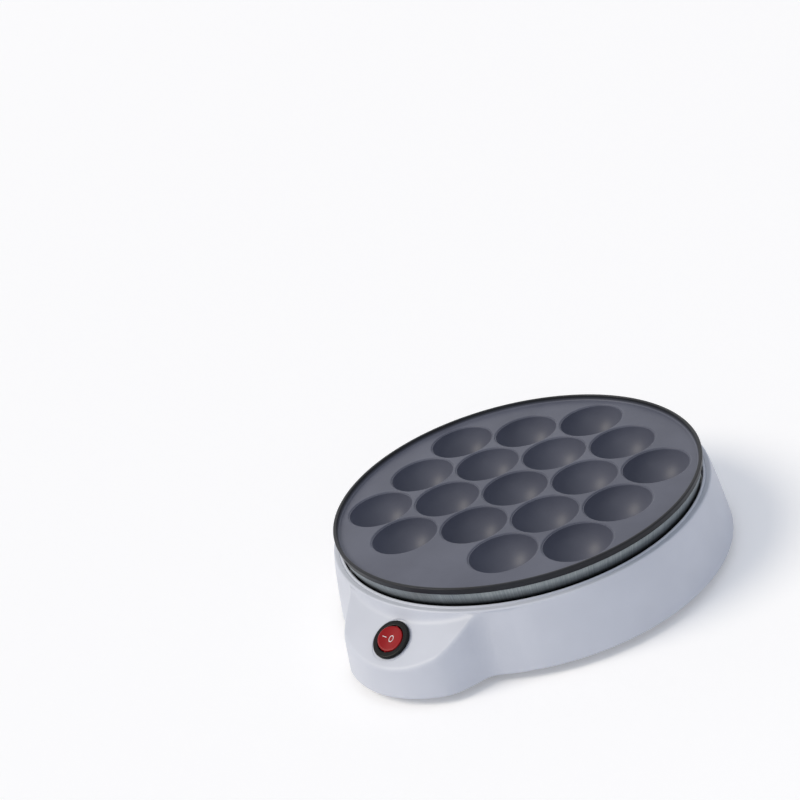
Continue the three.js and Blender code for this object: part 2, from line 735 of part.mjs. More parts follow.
// The tongue below its sloped panel and inside its two side bevels, all moved in by the inset
function tongue(inset, lowZ, highZ) {
  const heights = [lowZ, (lowZ + highZ) / 2, highZ];
  const whole = loft(heights.map((z) => tongueOutline(z, inset)), heights);
  const planes = [[
    new THREE.Vector3(0, -panelReach, panelHeight(panelReach)),
    new THREE.Vector3(0, -Math.sin(panelSlope), Math.cos(panelSlope)),
  ]];
  for (const side of [-1, 1]) {
    const [across, forward] = polar(Math.cos(bevelLean), bevelHeading);
    planes.push([
      new THREE.Vector3(side * bevelFootWidth, -bevelFootReach, panelHeight(bevelFootReach)),
      new THREE.Vector3(side * across, -forward, Math.sin(bevelLean)),
    ]);
  }
  const cuts = planes.map(([point, normal]) => spaceBeyond(point.addScaledVector(normal, -inset), normal));
  return shape([whole], cuts);
}

// Columns for the screws of the pan and of the cover, tied to the wall by gussets
function makeColumns() {
  const column = cylinder(columnRadius, wellTopZ, shieldFlangeUnderZ);
  const gussetLength = baseRadius - columnReach;
  const gusset = block(gussetLength, gussetThickness, wellTopZ, shieldFlangeUnderZ - columnRadius);
  const tied = shape([column, at([gussetLength / 2, 0], gusset)]);
  const round = columnAngles.map((angle) => turned(angle, at([columnReach, 0], tied)));
  const front = tongueColumnPlaces.map((place) => at(place, cylinder(columnRadius, wellTopZ, lipZ)));
  return [
    common(shape(round), roundPart(casingWall / 2, footProud, lipZ)),
    common(shape(front), tongue(casingWall / 2, footProud, ledgeZ)),
  ];
}

// The rear pad of the gland lies this far from the plate's axis
const padY = wallRadius(glandZ) - glandSink;

function makeCasing() {
  const lowZ = footProud - overrun;
  const cavity = revolve([
    [0, lowZ],
    ...wallPoints(casingWall, lowZ, ledgeZ),
    [openingRadius, ledgeZ],
    [openingRadius, lipZ + beadRise + overrun],
    [0, lipZ + beadRise + overrun],
  ]);
  const outside = [roundOutside(), tongue(0, footProud, lipZ - lipRound)];
  const shell = shape(outside, [cavity, tongue(casingWall, lowZ, ledgeZ)]);
  const round = roundPart(casingWall / 2, footProud, lipZ);
  const padBlock = laid(cylinder(glandPadRadius, padY - glandPad, padY, smallSegments));
  const pad = common(lifted(glandZ, padBlock), round);
  const spotFace = laid(cylinder(glandFlange + seatGap, padY, baseRadius + overrun, smallSegments));
  const padInnerY = padY - glandPad - overrun;
  const glandHole = laid(cylinder(glandNeck + seatGap, padInnerY, padY + overrun, smallSegments));
  const switchHole = cylinder(barrelRadius + seatGap, -2 * casingWall, 2 * casingWall, smallSegments);
  const coverScrewEndZ = wellTopZ - coverThickness + screwLength;
  const coverHole = screwHole(screwRadius, wellTopZ - overrun, coverScrewEndZ + seatGap);
  const shieldHole = screwHole(screwRadius, shieldFlangeUnderZ - screwLength, shieldFlangeUnderZ + overrun);
  return shape([shell, pad, ...makeColumns()], [
    lifted(glandZ, spotFace),
    lifted(glandZ, glandHole),
    switchHole.applyMatrix4(switchSeat.matrix),
    ...columnAngles.map((angle) => at(polar(columnReach, angle), shieldHole)),
    ...coverScrewPlaces.map((place) => at(place, coverHole)),
  ]);
}

const coverScrewPlaces = [...columnAngles.map((angle) => polar(columnReach, angle)), ...tongueColumnPlaces];
const switchSeat = new THREE.Group();
switchSeat.position.set(0, -panelReach, panelHeight(panelReach));
switchSeat.rotation.x = panelSlope;
switchSeat.updateMatrix();
body.add(switchSeat);

add('upper_casing', makeCasing(), whitePlastic);

// Bottom cover with sunk screw wells, radial vents and four rubber feet
function makeCover() {
  const inset = casingWall + seatGap;
  const inside = shape([roundPart(inset, footProud, ledgeZ), tongue(inset, footProud, ledgeZ)]);
  const sheet = common(inside, block(toolSize, toolSize, coverUnderZ, coverTopZ));
  const well = cylinder(wellRadius + wellWall, (coverUnderZ + coverTopZ) / 2, wellTopZ, footSegments);
  const wellHollow = cylinder(wellRadius, coverUnderZ - overrun, wellTopZ - coverThickness, footSegments);
  const wellHole = screwHole(screwRadius, wellTopZ - 2 * coverThickness, wellTopZ + overrun);
  const through = (radius) => cylinder(radius + seatGap, coverUnderZ - overrun, coverTopZ + overrun);
  const vent = block(ventOuter - ventInner, ventWidth, coverUnderZ - overrun, coverTopZ + overrun);
  const vents = [];
  for (let i = 0; i < ventCount; i += 1) {
    vents.push(turned((2 * halfTurn * i) / ventCount, at([(ventInner + ventOuter) / 2, 0], vent)));
  }
  return shape([sheet, ...coverScrewPlaces.map((place) => at(place, well))], [
    ...coverScrewPlaces.map((place) => at(place, wellHollow)),
    ...coverScrewPlaces.map((place) => at(place, wellHole)),
    ...footAngles.map((angle) => at(polar(footReach, angle), through(footStemRadius))),
    at(blockScrewPlace, through(smallScrewRadius)),
    ...vents,
  ]);
}

function makeFoot() {
  return revolve([
    [0, 0],
    [footRadius - footRound, 0],
    [footRadius, footRound],
    [footRadius, coverUnderZ],
    [footStemRadius, coverUnderZ],
    [footStemRadius, coverTopZ + seatGap],
    [footStemRadius + footBarb, coverTopZ + seatGap],
    [footStemRadius - footBarb, coverUnderZ + footStemLength],
    [0, coverUnderZ + footStemLength],
  ], footSegments);
}

const blockScrewPlace = [blockPlace[0], blockPlace[1] + blockScrewSetback];

add('bottom_cover', makeCover(), whitePlastic);
footAngles.forEach((angle, i) => add(`foot_${i + 1}`, at(polar(footReach, angle), makeFoot()), rubber));
coverScrewPlaces.forEach((place, i) => {
  add(`cover_screw_${i + 1}`, at(place, largeScrew(wellTopZ - coverThickness)), steel);
});

// Rocker switch in the panel: X across, Y up the slope, Z out of the panel, which lies at zero

function makeSwitchBody() {
  const edgeRadius = bezelRadius - bezelRound;
  const edgeZ = bezelHeight - bezelRound;
  const outside = revolve([
    [0, -barrelDepth],
    [barrelRadius, -barrelDepth],
    [barrelRadius, seatGap],
    [bezelRadius, seatGap],
    ...arc(edgeRadius, edgeZ, bezelRound, 0, quarterTurn, bezelRoundSteps),
    [0, bezelHeight],
  ], smallSegments);
  const latchTopZ = -casingWall - seatGap;
  const latches = block(2 * (barrelRadius + latchProud), latchWidth, latchTopZ - latchLength, latchTopZ);
  const floorZ = barrelFloor - barrelDepth;
  const bearingReach = rockerRadius + trunnionLength + seatGap;
  const bearings = laid(cylinder(trunnionRadius + seatGap, -bearingReach, bearingReach));
  const [slotX, slotY] = [bladeThickness, bladeWidth].map((size) => size + 2 * seatGap);
  const slot = block(slotX, slotY, -barrelDepth - overrun, floorZ + overrun);
  return shape([outside, latches], [
    cylinder(apertureRadius, floorZ, bezelHeight + overrun, smallSegments),
    lifted(rockerLift, bearings),
    ...bladeSides.map((side) => at([side, 0], slot)),
  ]);
}

function makeRocker() {
  const from = Math.asin(-rockerDepth / rockerRadius);
  const to = Math.asin(rockerHeight / rockerRadius);
  const zone = arc(0, 0, rockerRadius, from, to, rockerRings);
  const cap = revolve([[0, -rockerDepth], ...zone, [0, rockerHeight]], smallSegments);
  const pivotReach = rockerRadius + trunnionLength;
  const trunnions = laid(cylinder(trunnionRadius, -pivotReach, pivotReach));
  const stemEndZ = -rockerDepth - stemLength;
  const stem = cylinder(stemRadius, stemEndZ, 0, footSegments);
  const bore = cylinder(plungerRadius + seatGap, stemEndZ - overrun, stemEndZ + stemBoreDepth);
  const dish = laid(cylinder(rockerDish, -bezelRadius, bezelRadius, ringSegments));
  return shape([cap, trunnions, stem], [bore, lifted(rockerHeight - rockerDishDepth + rockerDish, dish)]);
}

const rockerPivot = new THREE.Group();
rockerPivot.position.z = rockerLift;
rockerPivot.rotation.y = rockerTilt;
const armPivot = new THREE.Group();
armPivot.position.z = -armDrop;
armPivot.rotation.y = -armTilt;
switchSeat.add(rockerPivot, armPivot);

const plungerTopZ = stemBoreDepth - seatGap - rockerDepth - stemLength;
const bladeFootZ = -barrelDepth - bladeReach;
const lamp = laid(cylinder(lampRadius, -lampLength / 2, lampLength / 2));

add('switch_body', makeSwitchBody(), blackPlastic, switchSeat);
add('switch_rocker', makeRocker(), redPlastic, rockerPivot);
add('switch_plunger', cylinder(plungerRadius, -plungerReach, plungerTopZ), brass, rockerPivot);
add('switch_arm', block(armLength, armWidth, -armThickness / 2, armThickness / 2), brass, armPivot);
bladeSides.forEach((side, i) => {
  const blade = block(bladeThickness, bladeWidth, bladeFootZ, -armDrop - bladeDrops[i]);
  add(`switch_terminal_${i + 1}`, at([side, 0], blade), brass, switchSeat);
});
add('switch_lamp', lifted(-lampSink - armDrop / 2, at([lampSide, 0], lamp)), glass, switchSeat);

// Gland in the rear wall, open for the cord
const gland = laid(revolve([
  [glandBore, padY - glandPad - glandTail],
  [glandTailFlange, padY - glandPad - glandTail],
  [glandTailFlange, padY - glandPad],
  [glandNeck, padY - glandPad],
  [glandNeck, padY],
  [glandFlange, padY],
  [glandFlange, padY + glandFlangeThickness - glandRound],
  [glandFlange - glandRound, padY + glandFlangeThickness],
  [glandBore, padY + glandFlangeThickness],
], smallSegments));

add('cord_gland', lifted(glandZ, gland), rubber);

// Terminal block on the cover, with three ways in its front face
const waySides = [-blockWaySpacing, 0, blockWaySpacing];

function makeTerminalBlock() {
  const way = laid(cylinder(leadRadius + seatGap, -blockWidth / 2 - overrun, blockWayDepth - blockWidth / 2));
  const screwSide = [0, blockScrewSetback];
  const counterbore = cylinder(smallScrewHeadRadius + seatGap, coverTopZ + blockScrewSeat, toolSize);
  return shape([block(blockLength, blockWidth, coverTopZ, coverTopZ + blockHeight)], [
    ...waySides.map((side) => lifted(wayZ, at([side, 0], way))),
    at(screwSide, counterbore),
    at(screwSide, screwHole(smallScrewRadius, coverTopZ - overrun, coverTopZ + blockScrewSeat + overrun)),
  ]);
}

const blockScrewZ = coverTopZ + blockScrewSeat;
add('terminal_block', at(blockPlace, makeTerminalBlock()), ceramic);
add('terminal_block_screw', at(blockScrewPlace, turnedOver(blockScrewZ, smallScrew(blockScrewZ))), steel);

// Leads inside the casing. Each end is a point and the way that the lead leaves it.

function fromBlade(side) {
  const toBody = (z) => new THREE.Vector3(side, 0, z).applyMatrix4(switchSeat.matrix);
  return [toBody(bladeFootZ - seatGap), toBody(bladeFootZ - leadBend)];
}

function fromPin([x, y]) {
  const z = tubeZ - legDrop - pinLength / 2;
  const near = y - pinRadius - seatGap;
  return [new THREE.Vector3(x, near, z), new THREE.Vector3(x, near - leadBend, z)];
}

function fromWay(side) {
  const x = blockPlace[0] + side;
  const faceY = blockPlace[1] - blockWidth / 2;
  return [faceY - seatGap, faceY - leadBend].map((y) => new THREE.Vector3(x, y, wayZ));
}

function fromTab([x, y]) {
  const tabFootZ = strapTopZ - bladeReach - seatGap;
  const heights = [tabFootZ, shieldFloorTopZ + leadBend, shieldFloorUnderZ, shieldFloorUnderZ - leadBend];
  return heights.map((z) => new THREE.Vector3(x, y, z));
}

function fromFuse(side) {
  const [x, y] = fusePlace;
  const endX = x + side * (fuseLength / 2 + seatGap);
  return [new THREE.Vector3(endX, y, fuseZ), new THREE.Vector3(endX + side * leadBend, y, fuseZ)];
}

// Low spots lie on the cover, and high spots lie under the pan
function lowSpot([side, inward]) {
  return new THREE.Vector3(side, inward - panelReach, coverTopZ + leadLift);
}

function highSpot([x, y], [side, inward]) {
  return new THREE.Vector3(x + side, y + inward, shieldFloorUnderZ - leadHeadroom);
}

const [startPin, endPin] = legPlaces;
const [frontTab, rearTab] = tabPlaces;
const [lampBlade, lineBlade, loadBlade] = bladeSides;
const [leftWay, middleWay, rightWay] = waySides;
const leads = [
  [fromBlade(loadBlade), [], fromPin(startPin)],
  [fromBlade(lineBlade), lineSpots.map(lowSpot), fromWay(rightWay)],
  [fromBlade(lampBlade), lampSpots.map(lowSpot), fromWay(middleWay)],
  [fromFuse(1), [], fromWay(leftWay)],
  [fromFuse(-1), [highSpot(fusePlace, fuseSpot), highSpot(frontTab, tabSpot)], fromTab(frontTab)],
  [fromTab(rearTab), [], fromPin(endPin)],
];
leads.forEach(([start, between, end], i) => {
  const path = new THREE.CatmullRomCurve3([...start, ...between, ...end.reverse()]);
  add(`lead_${i + 1}`, shape([tube(path, leadRadius, leadSides, leadSteps)]), rubber);
});

export default takoyakiMaker;
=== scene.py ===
# %% [markdown]
# # An electric takoyaki maker
# This cooker is a dark cast plate with eighteen round cups, set on a white moulded casing. A tongue at the
# front of the casing carries a round red rocker switch. The solids and the joints come from the frame. Here
# the visible pieces get their smooth shapes, and every piece gets its finish.

# %% Load the frame
import math

import bmesh
import bpy
import numpy as np
from mathutils import Matrix, Vector


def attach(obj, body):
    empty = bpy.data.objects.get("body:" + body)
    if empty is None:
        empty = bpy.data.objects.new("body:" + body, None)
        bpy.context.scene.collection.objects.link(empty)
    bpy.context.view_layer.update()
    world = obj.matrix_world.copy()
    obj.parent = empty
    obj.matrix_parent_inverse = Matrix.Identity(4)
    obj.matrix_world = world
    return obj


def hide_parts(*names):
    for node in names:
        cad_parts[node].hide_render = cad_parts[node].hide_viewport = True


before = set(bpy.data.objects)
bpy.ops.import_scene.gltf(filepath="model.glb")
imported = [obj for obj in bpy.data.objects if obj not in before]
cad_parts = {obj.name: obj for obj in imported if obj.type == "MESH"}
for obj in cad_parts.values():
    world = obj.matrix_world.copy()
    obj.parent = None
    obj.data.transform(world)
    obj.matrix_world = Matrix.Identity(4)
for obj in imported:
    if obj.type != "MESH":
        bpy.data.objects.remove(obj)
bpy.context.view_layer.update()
print("nodes in the frame:", len(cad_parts))

# %% [markdown]
# ## Colours and nodes
# Colours are written as sRGB hex values, as a paint or plastics chart gives them, and are turned to the
# linear values that the renderer counts in. All node trees, for finishes and for geometry, are built with
# one small function, so that each line reads as one node with its inputs and its properties.

# %% Colour and node helpers
MM = 0.001  # the scene is in metres, and its sizes are written in millimetres
AXIS = Matrix.Translation((0, 12.1, 0))  # the plate's axis lies this far behind the middle of the object


def linear(hex_colour):
    """An sRGB hex colour as linear red, green, blue and alpha."""
    shares = [int(hex_colour[i:i + 2], 16) / 255 for i in (1, 3, 5)]
    return [s / 12.92 if s <= 0.04045 else ((s + 0.055) / 1.055) ** 2.4 for s in shares] + [1.0]


def feed(tree, node, inputs):
    """Each input takes a value, or a link from a given output or from a given node's first output."""
    for key, value in inputs.items():
        source = value.outputs[0] if isinstance(value, bpy.types.Node) else value
        if isinstance(source, bpy.types.NodeSocket):
            tree.links.new(source, node.inputs[key])
        else:
            node.inputs[key].default_value = source


def add_node(tree, kind, inputs=None, stops=(), **properties):
    """A new node with its properties and inputs. Stops are a colour ramp's positions and colours."""
    made = tree.nodes.new(kind)
    for key, value in properties.items():
        setattr(made, key, value)
    feed(tree, made, inputs or {})
    for i, (position, colour) in enumerate(stops):
        stop = made.color_ramp.elements[i]
        stop.position, stop.color = position, linear(colour)
    return made


def new_finish(name, colour, roughness, metallic=0.0, extra=None):
    """A material with one shader, whose constants are set on the shader's own sockets."""
    material = bpy.data.materials.new(name)
    material.use_nodes = True
    tree = material.node_tree
    tree.nodes.clear()
    values = {"Base Color": linear(colour), "Roughness": roughness, "Metallic": metallic, **(extra or {})}
    shader = add_node(tree, "ShaderNodeBsdfPrincipled", values)
    add_node(tree, "ShaderNodeOutputMaterial", {"Surface": shader})
    place = add_node(tree, "ShaderNodeTexCoord").outputs["Object"]
    return material, tree, shader, place


def per_mm(size):
    """The scale of a texture on object coordinates whose features have the size given in millimetres."""
    return 1000 / size


print("white plastic in linear light:", [round(c, 3) for c in linear("#CDD1DC")])

# %% [markdown]
# ## Meshes
# Most of this object is turned: the plate, the bezel, the feet. A turned piece is a profile spun about an
# axis. The profile is a list of radius and height in millimetres, and the helper joins its copies with
# faces. Arcs in a profile come from one function, so that every round edge has a real radius.

# %% Mesh helpers
MERGE = 0.002  # points closer than this many millimetres become one


def arc(centre_r, centre_z, radius, start, end, steps):
    """Points of an arc in a profile, with angles in degrees from outwards."""
    angles = np.radians(np.linspace(start, end, steps + 1))
    return [(centre_r + radius * math.cos(a), centre_z + radius * math.sin(a)) for a in angles]


def mesh_object(name, points, faces):
    """An object at the origin from points in millimetres, with close points merged and smooth faces."""
    mesh = bpy.data.meshes.new(name)
    mesh.from_pydata([tuple(p) for p in np.asarray(points, float) * MM], [], faces)
    edit = bmesh.new()
    edit.from_mesh(mesh)
    bmesh.ops.remove_doubles(edit, verts=edit.verts, dist=MERGE * MM)
    bmesh.ops.dissolve_degenerate(edit, edges=edit.edges, dist=MERGE * MM)
    bmesh.ops.recalc_face_normals(edit, faces=edit.faces)
    edit.to_mesh(mesh)
    edit.free()
    mesh.shade_smooth()
    made = bpy.data.objects.new(name, mesh)
    bpy.context.scene.collection.objects.link(made)
    return made


def band_faces(lines, count, last):
    """Faces between neighbouring lines of so many points, round to the first line, up to the last step."""
    faces = []
    for s in range(lines):
        here, there = s * count, (s + 1) % lines * count
        faces += [(here + i, there + i, there + (i + 1) % count, here + (i + 1) % count) for i in range(last)]
    return faces


def turned(name, profile, segments, place=Matrix()):
    """A piece turned about the vertical, then placed by a matrix in millimetres.
    The profile closes on itself, or starts and ends on the axis."""
    angles = np.linspace(0, 2 * math.pi, segments, endpoint=False)
    points = [place @ Vector((r * math.cos(a), r * math.sin(a), z)) for a in angles for r, z in profile]
    count = len(profile)
    last = count if profile[0][0] > 0 else count - 1
    return mesh_object(name, points, band_faces(segments, count, last))


def rod(name, radius, low, high, place, segments=64):
    return turned(name, [(0, low), (radius, low), (radius, high), (0, high)], segments, place)


def prism(name, near, far):
    """A solid between two outlines that have the same number of points."""
    count = len(near)
    faces = [tuple(reversed(range(count))), tuple(range(count, 2 * count))]
    faces += [(i, (i + 1) % count, (i + 1) % count + count, i + count) for i in range(count)]
    return mesh_object(name, [*near, *far], faces)


def oblong(half_x, half_y):
    return [(-half_x, -half_y), (half_x, -half_y), (half_x, half_y), (-half_x, half_y)]


def apply_modifiers(piece):
    """The piece's evaluated shape becomes its mesh, and its modifiers go."""
    bpy.context.view_layer.update()
    graph = bpy.context.evaluated_depsgraph_get()
    shape = piece.evaluated_get(graph)
    made = bpy.data.meshes.new_from_object(shape, preserve_all_data_layers=True, depsgraph=graph)
    piece.modifiers.clear()
    piece.data = made
    return piece


def combine(piece, tool, operation):
    """Join the tool's shape to the piece or take it out, and delete the tool."""
    step = piece.modifiers.new("solid", "BOOLEAN")
    step.operation, step.solver, step.object = operation, "MANIFOLD", tool
    apply_modifiers(piece)
    bpy.data.objects.remove(tool)


def crease(piece, degrees=35):
    """Edges that bend by more than the angle stay sharp, and wide flat faces keep their own shade."""
    piece.data.shade_smooth()
    piece.data.set_sharp_from_angle(angle=math.radians(degrees))
    step = piece.modifiers.new("weights", "WEIGHTED_NORMAL")
    step.keep_sharp = True
    return apply_modifiers(piece)


print("the plate's axis is at y =", AXIS.translation.y, "mm")

# %% [markdown]
# ## Camera
# The photograph looks down on the cooker from the right of its front, and all of the cooker leans in it.
# The camera stands where an ordinary lens comes closest to that view, and it is rolled by the same lean.

# %% Camera
PHOTO_SIDE = 800  # pixels
SENSOR_WIDTH = 36  # millimetres
MIDDLE = Vector((0, 0, 27.5))  # half of the cooker's height
# Angles are in degrees, the focal length is in pixels, and the rest is in millimetres.
CAMERA = {"azimuth": 46.06, "elevation": 23.36, "roll": -16.56, "distance": 929.4, "focal": 1586.7,
          "aside": -41.18, "above": 93.82}


def place_camera(view):
    turn, lift, roll = (math.radians(view[key]) for key in ("azimuth", "elevation", "roll"))
    back = Vector((math.sin(turn) * math.cos(lift), -math.cos(turn) * math.cos(lift), math.sin(lift)))
    right = Vector((math.cos(turn), math.sin(turn), 0))
    up = back.cross(right)
    stand = MIDDLE + right * view["aside"] + up * view["above"] + back * view["distance"]
    rolled_right = right * math.cos(roll) + up * math.sin(roll)
    rolled_up = up * math.cos(roll) - right * math.sin(roll)
    lens = bpy.data.cameras.new("camera")
    lens.sensor_fit = "HORIZONTAL"
    lens.sensor_width = SENSOR_WIDTH
    lens.lens = view["focal"] / PHOTO_SIDE * SENSOR_WIDTH
    lens.clip_start = 0.01
    camera = bpy.data.objects.new("camera", lens)
    facing = Matrix((rolled_right, rolled_up, back)).transposed().to_4x4()
    camera.matrix_world = Matrix.Translation(stand * MM) @ facing
    bpy.context.scene.collection.objects.link(camera)
    bpy.context.scene.camera = camera
    return camera


camera = place_camera(CAMERA)
print("lens:", round(camera.data.lens, 1), "mm")

# %% [markdown]
# ## Floor and light
# A large pale floor takes the object's shadow. The main light is a wide, slightly warm sun disc ahead on the
# left, and a weak lamp fills in from the right. The world fills the rest. To the camera, to gloss and to
# glass the world is plain white, but it lights the object less than that, so that white plastic shows its
# form without clipping. The floor adds a little light for the same rays, so it ends without a horizon.

# %% Floor, world and lamps
FLOOR_HALF = 30000  # millimetres
FLOOR_GLOW = 0.18
WORLD_LIGHT = 0.55


def seen_rays(tree):
    """One for rays from the camera, straight or by gloss or glass, and zero for those that carry light."""
    rays = add_node(tree, "ShaderNodeLightPath").outputs
    seen = rays["Is Camera Ray"]
    for kind in ("Is Glossy Ray", "Is Transmission Ray"):
        seen = add_node(tree, "ShaderNodeMath", {0: seen, 1: rays[kind]}, operation="MAXIMUM")
    return seen


def make_floor():
    corners = [(x, y, 0) for x, y in oblong(FLOOR_HALF, FLOOR_HALF)]
    floor = mesh_object("floor", corners, [(0, 1, 2, 3)])
    # Painted board: dull, with a faint roller grain, so it has no gleam of its own.
    material, tree, shader, place = new_finish("pale_studio_floor", "#FCFCFD", 0.9)
    grain = add_node(tree, "ShaderNodeTexNoise", {"Scale": per_mm(2.5), "Detail": 2.0, "Vector": place})
    bump = add_node(tree, "ShaderNodeBump", {"Strength": 0.03, "Distance": 0.5 * MM, "Height": grain})
    glow = add_node(tree, "ShaderNodeMath", {0: seen_rays(tree), 1: FLOOR_GLOW}, operation="MULTIPLY")
    feed(tree, shader, {"Normal": bump, "Emission Color": linear("#FFFFFF"), "Emission Strength": glow})
    floor.data.materials.append(material)


def make_lamp(name, kind, spot, power, colour, **extra):
    """A lamp at a spot in metres that shines on the object. A sun's power is its strength on a face."""
    light = bpy.data.lights.new(name, kind)
    light.energy, light.color = power, linear(colour)[:3]
    for key, value in extra.items():
        setattr(light, key, value)
    lamp = bpy.data.objects.new(name, light)
    lamp.location = spot
    lamp.rotation_euler = (-Vector(spot)).to_track_quat("-Z", "Y").to_euler()
    bpy.context.scene.collection.objects.link(lamp)


def light_world(strength):
    world = bpy.data.worlds.new("studio")
    bpy.context.scene.world = world
    world.use_nodes = True
    tree = world.node_tree
    tree.nodes.clear()
    lit = add_node(tree, "ShaderNodeBackground", {"Color": linear("#E6ECF8"), "Strength": strength})
    white = add_node(tree, "ShaderNodeBackground", {"Color": linear("#FFFFFF"), "Strength": 1.0})
    mix = add_node(tree, "ShaderNodeMixShader", {0: seen_rays(tree), 1: lit, 2: white})
    add_node(tree, "ShaderNodeOutputWorld", {"Surface": mix})


make_floor()
light_world(WORLD_LIGHT)
make_lamp("key", "SUN", (-0.75, -0.85, 1.2), 1.5, "#FFF6E6", angle=math.radians(30))
make_lamp("fill", "AREA", (1.2, -0.9, 0.7), 1.2, "#F4F7FF", shape="DISK", size=0.8)
bpy.context.scene.view_settings.view_transform = "Standard"

# %% [markdown]
# ## Finish of the plate
# The plate is die-cast aluminium. Its top and the rim's edge carry a dark non-stick coating, a sprayed and
# baked film with a fine grain and a satin sheen. The rim is drawn near black as painted shade, as its walls
# stay darker than the land that takes the light from above. The skirt below the rim is bare metal with the
# marks of the tool that trimmed it: fine upright streaks, bright where they catch the light. Towards its foot
# it is darkened by painted shade, where it sinks into the gap by the casing. The coating ends in a slightly
# uneven line.

# %% Coated and bare cast aluminium
SKIRT_RADIUS = 107  # mean radius of the skirt in millimetres
RIM_SHADE_RADII = (107.2, 107.8)  # the land's tones turn to the rim's painted shade between these radii
COATING_ENDS = (50.8, 51.8)  # the coating's lower edge stays between these heights
GAP_SHADE_HEIGHTS = (42.2, 49.5)  # from full painted shade in the gap by the casing to none
SKIRT_INSIDE = 104.5  # bare metal is drawn only outside this radius
STREAK_WIDTH, WANDER_LENGTH = 0.45, 6


def weather(tree, shader, grain, roughness, spread, strength, depth):
    """A grain that shows both in the gloss and as bumps, whose depth is in millimetres."""
    ends = {3: roughness - spread, 4: roughness + spread}
    gloss = add_node(tree, "ShaderNodeMapRange", {"Value": grain, **ends})
    bump = add_node(tree, "ShaderNodeBump", {"Strength": strength, "Distance": depth * MM, "Height": grain})
    feed(tree, shader, {"Roughness": gloss, "Normal": bump})


def coated_aluminium():
    material, tree, shader, place = new_finish("nonstick_coated_cast_aluminium", "#5F6270", 0.4,
                                               extra={"Specular IOR Level": 0.25})
    height = add_node(tree, "ShaderNodeSeparateXYZ", {0: place}).outputs["Z"]
    level_place = {"Vector": place, "Location": tuple(-AXIS.translation * MM), "Scale": (1.0, 1.0, 0.0)}
    flat = add_node(tree, "ShaderNodeMapping", level_place)
    radius = add_node(tree, "ShaderNodeVectorMath", {0: flat}, operation="LENGTH").outputs["Value"]
    around = add_node(tree, "ShaderNodeVectorMath", {0: flat}, operation="NORMALIZE")

    # The coating: two close tones in wide clouds on the land, and a near black on the rim, which is painted
    # shade, as the rim's walls stay darker than the land that takes the light from above. The real grain is
    # finer than 0.8 mm, and is drawn that coarse so that it shows.
    cloud = add_node(tree, "ShaderNodeTexNoise", {"Scale": per_mm(40), "Detail": 3.0, "Vector": place})
    grain = add_node(tree, "ShaderNodeTexNoise", {"Scale": per_mm(0.8), "Detail": 2.0, "Vector": place})
    land = add_node(tree, "ShaderNodeValToRGB", {"Fac": cloud}, ((0.35, "#5A5D6B"), (0.65, "#646775")))
    edge = add_node(tree, "ShaderNodeValToRGB", {"Fac": cloud}, ((0.35, "#15171D"), (0.65, "#1C1F26")))
    tones_from, tones_to = RIM_SHADE_RADII
    in_rim_shade = add_node(tree, "ShaderNodeMapRange", {"Value": radius, 1: tones_from * MM, 2: tones_to * MM})
    coat = add_node(tree, "ShaderNodeMix", {0: in_rim_shade, 6: land, 7: edge}, data_type="RGBA").outputs[2]

    # Bare metal: the streaks follow the direction from the axis alone, so they stand upright. Real tool
    # marks are finer, but these are drawn 0.45 mm wide so that they show. The foot is darkened by painted
    # shade, where the skirt sinks into the gap by the casing.
    streak = add_node(tree, "ShaderNodeTexNoise",
                      {"Scale": SKIRT_RADIUS / STREAK_WIDTH, "Detail": 2.0, "Vector": around})
    metal_tone = add_node(tree, "ShaderNodeValToRGB", {"Fac": streak}, ((0.3, "#81898C"), (0.7, "#A6ADAF")))
    full_shade_z, no_shade_z = GAP_SHADE_HEIGHTS
    low_down = add_node(tree, "ShaderNodeMapRange", {"Value": height, 1: full_shade_z * MM, 2: no_shade_z * MM})
    gap_shade = add_node(tree, "ShaderNodeValToRGB", {"Fac": low_down}, ((0.0, "#1A2028"), (0.9, "#FFFFFF")))
    bare = add_node(tree, "ShaderNodeMix", {0: 1.0, 6: metal_tone, 7: gap_shade},
                    data_type="RGBA", blend_type="MULTIPLY").outputs[2]

    # The coating's lower edge wanders by a millimetre, over about 6 mm along the rim.
    wander = add_node(tree, "ShaderNodeTexNoise",
                      {"Scale": SKIRT_RADIUS / WANDER_LENGTH, "Detail": 4.0, "Vector": around})
    lowest, highest = COATING_ENDS
    level = add_node(tree, "ShaderNodeMapRange", {"Value": wander, 3: lowest * MM, 4: highest * MM})
    below = add_node(tree, "ShaderNodeMath", {0: height, 1: level}, operation="LESS_THAN")
    outside = add_node(tree, "ShaderNodeMath", {0: radius, 1: SKIRT_INSIDE * MM}, operation="GREATER_THAN")
    skirt = add_node(tree, "ShaderNodeMath", {0: below, 1: outside}, operation="MULTIPLY")
    colour = add_node(tree, "ShaderNodeMix", {0: skirt, 6: coat, 7: bare}, data_type="RGBA").outputs[2]
    feed(tree, shader, {"Base Color": colour, "Metallic": skirt})
    weather(tree, shader, grain, roughness=0.41, spread=0.05, strength=0.1, depth=0.2)
    return material


COATED = coated_aluminium()
print("nodes in the plate's finish:", len(COATED.node_tree.nodes))

# %% [markdown]
# ## Plastics and rubber
# The casing is white ABS with a fine spark-eroded texture, satin and slightly cool. The bezel is black glossy
# polycarbonate, and the rocker is tinted deep red. The feet are matt black rubber, the gland is a pale one.

# %% Plastics and rubber
def moulded(name, colour, tone, roughness, grain_size, strength, extra=None):
    """A moulded plastic or rubber: two close tones, and a grain with its size in millimetres."""
    material, tree, shader, place = new_finish(name, colour, roughness, extra=extra)
    cloud = add_node(tree, "ShaderNodeTexNoise", {"Scale": per_mm(30), "Detail": 2.0, "Vector": place})
    tones = add_node(tree, "ShaderNodeValToRGB", {"Fac": cloud}, ((0.35, colour), (0.65, tone)))
    fine = {"Scale": per_mm(grain_size), "Detail": 2.0, "Vector": place}
    grain = add_node(tree, "ShaderNodeTexNoise", fine)
    feed(tree, shader, {"Base Color": tones})
    weather(tree, shader, grain, roughness, spread=0.04, strength=strength, depth=0.2)
    return material


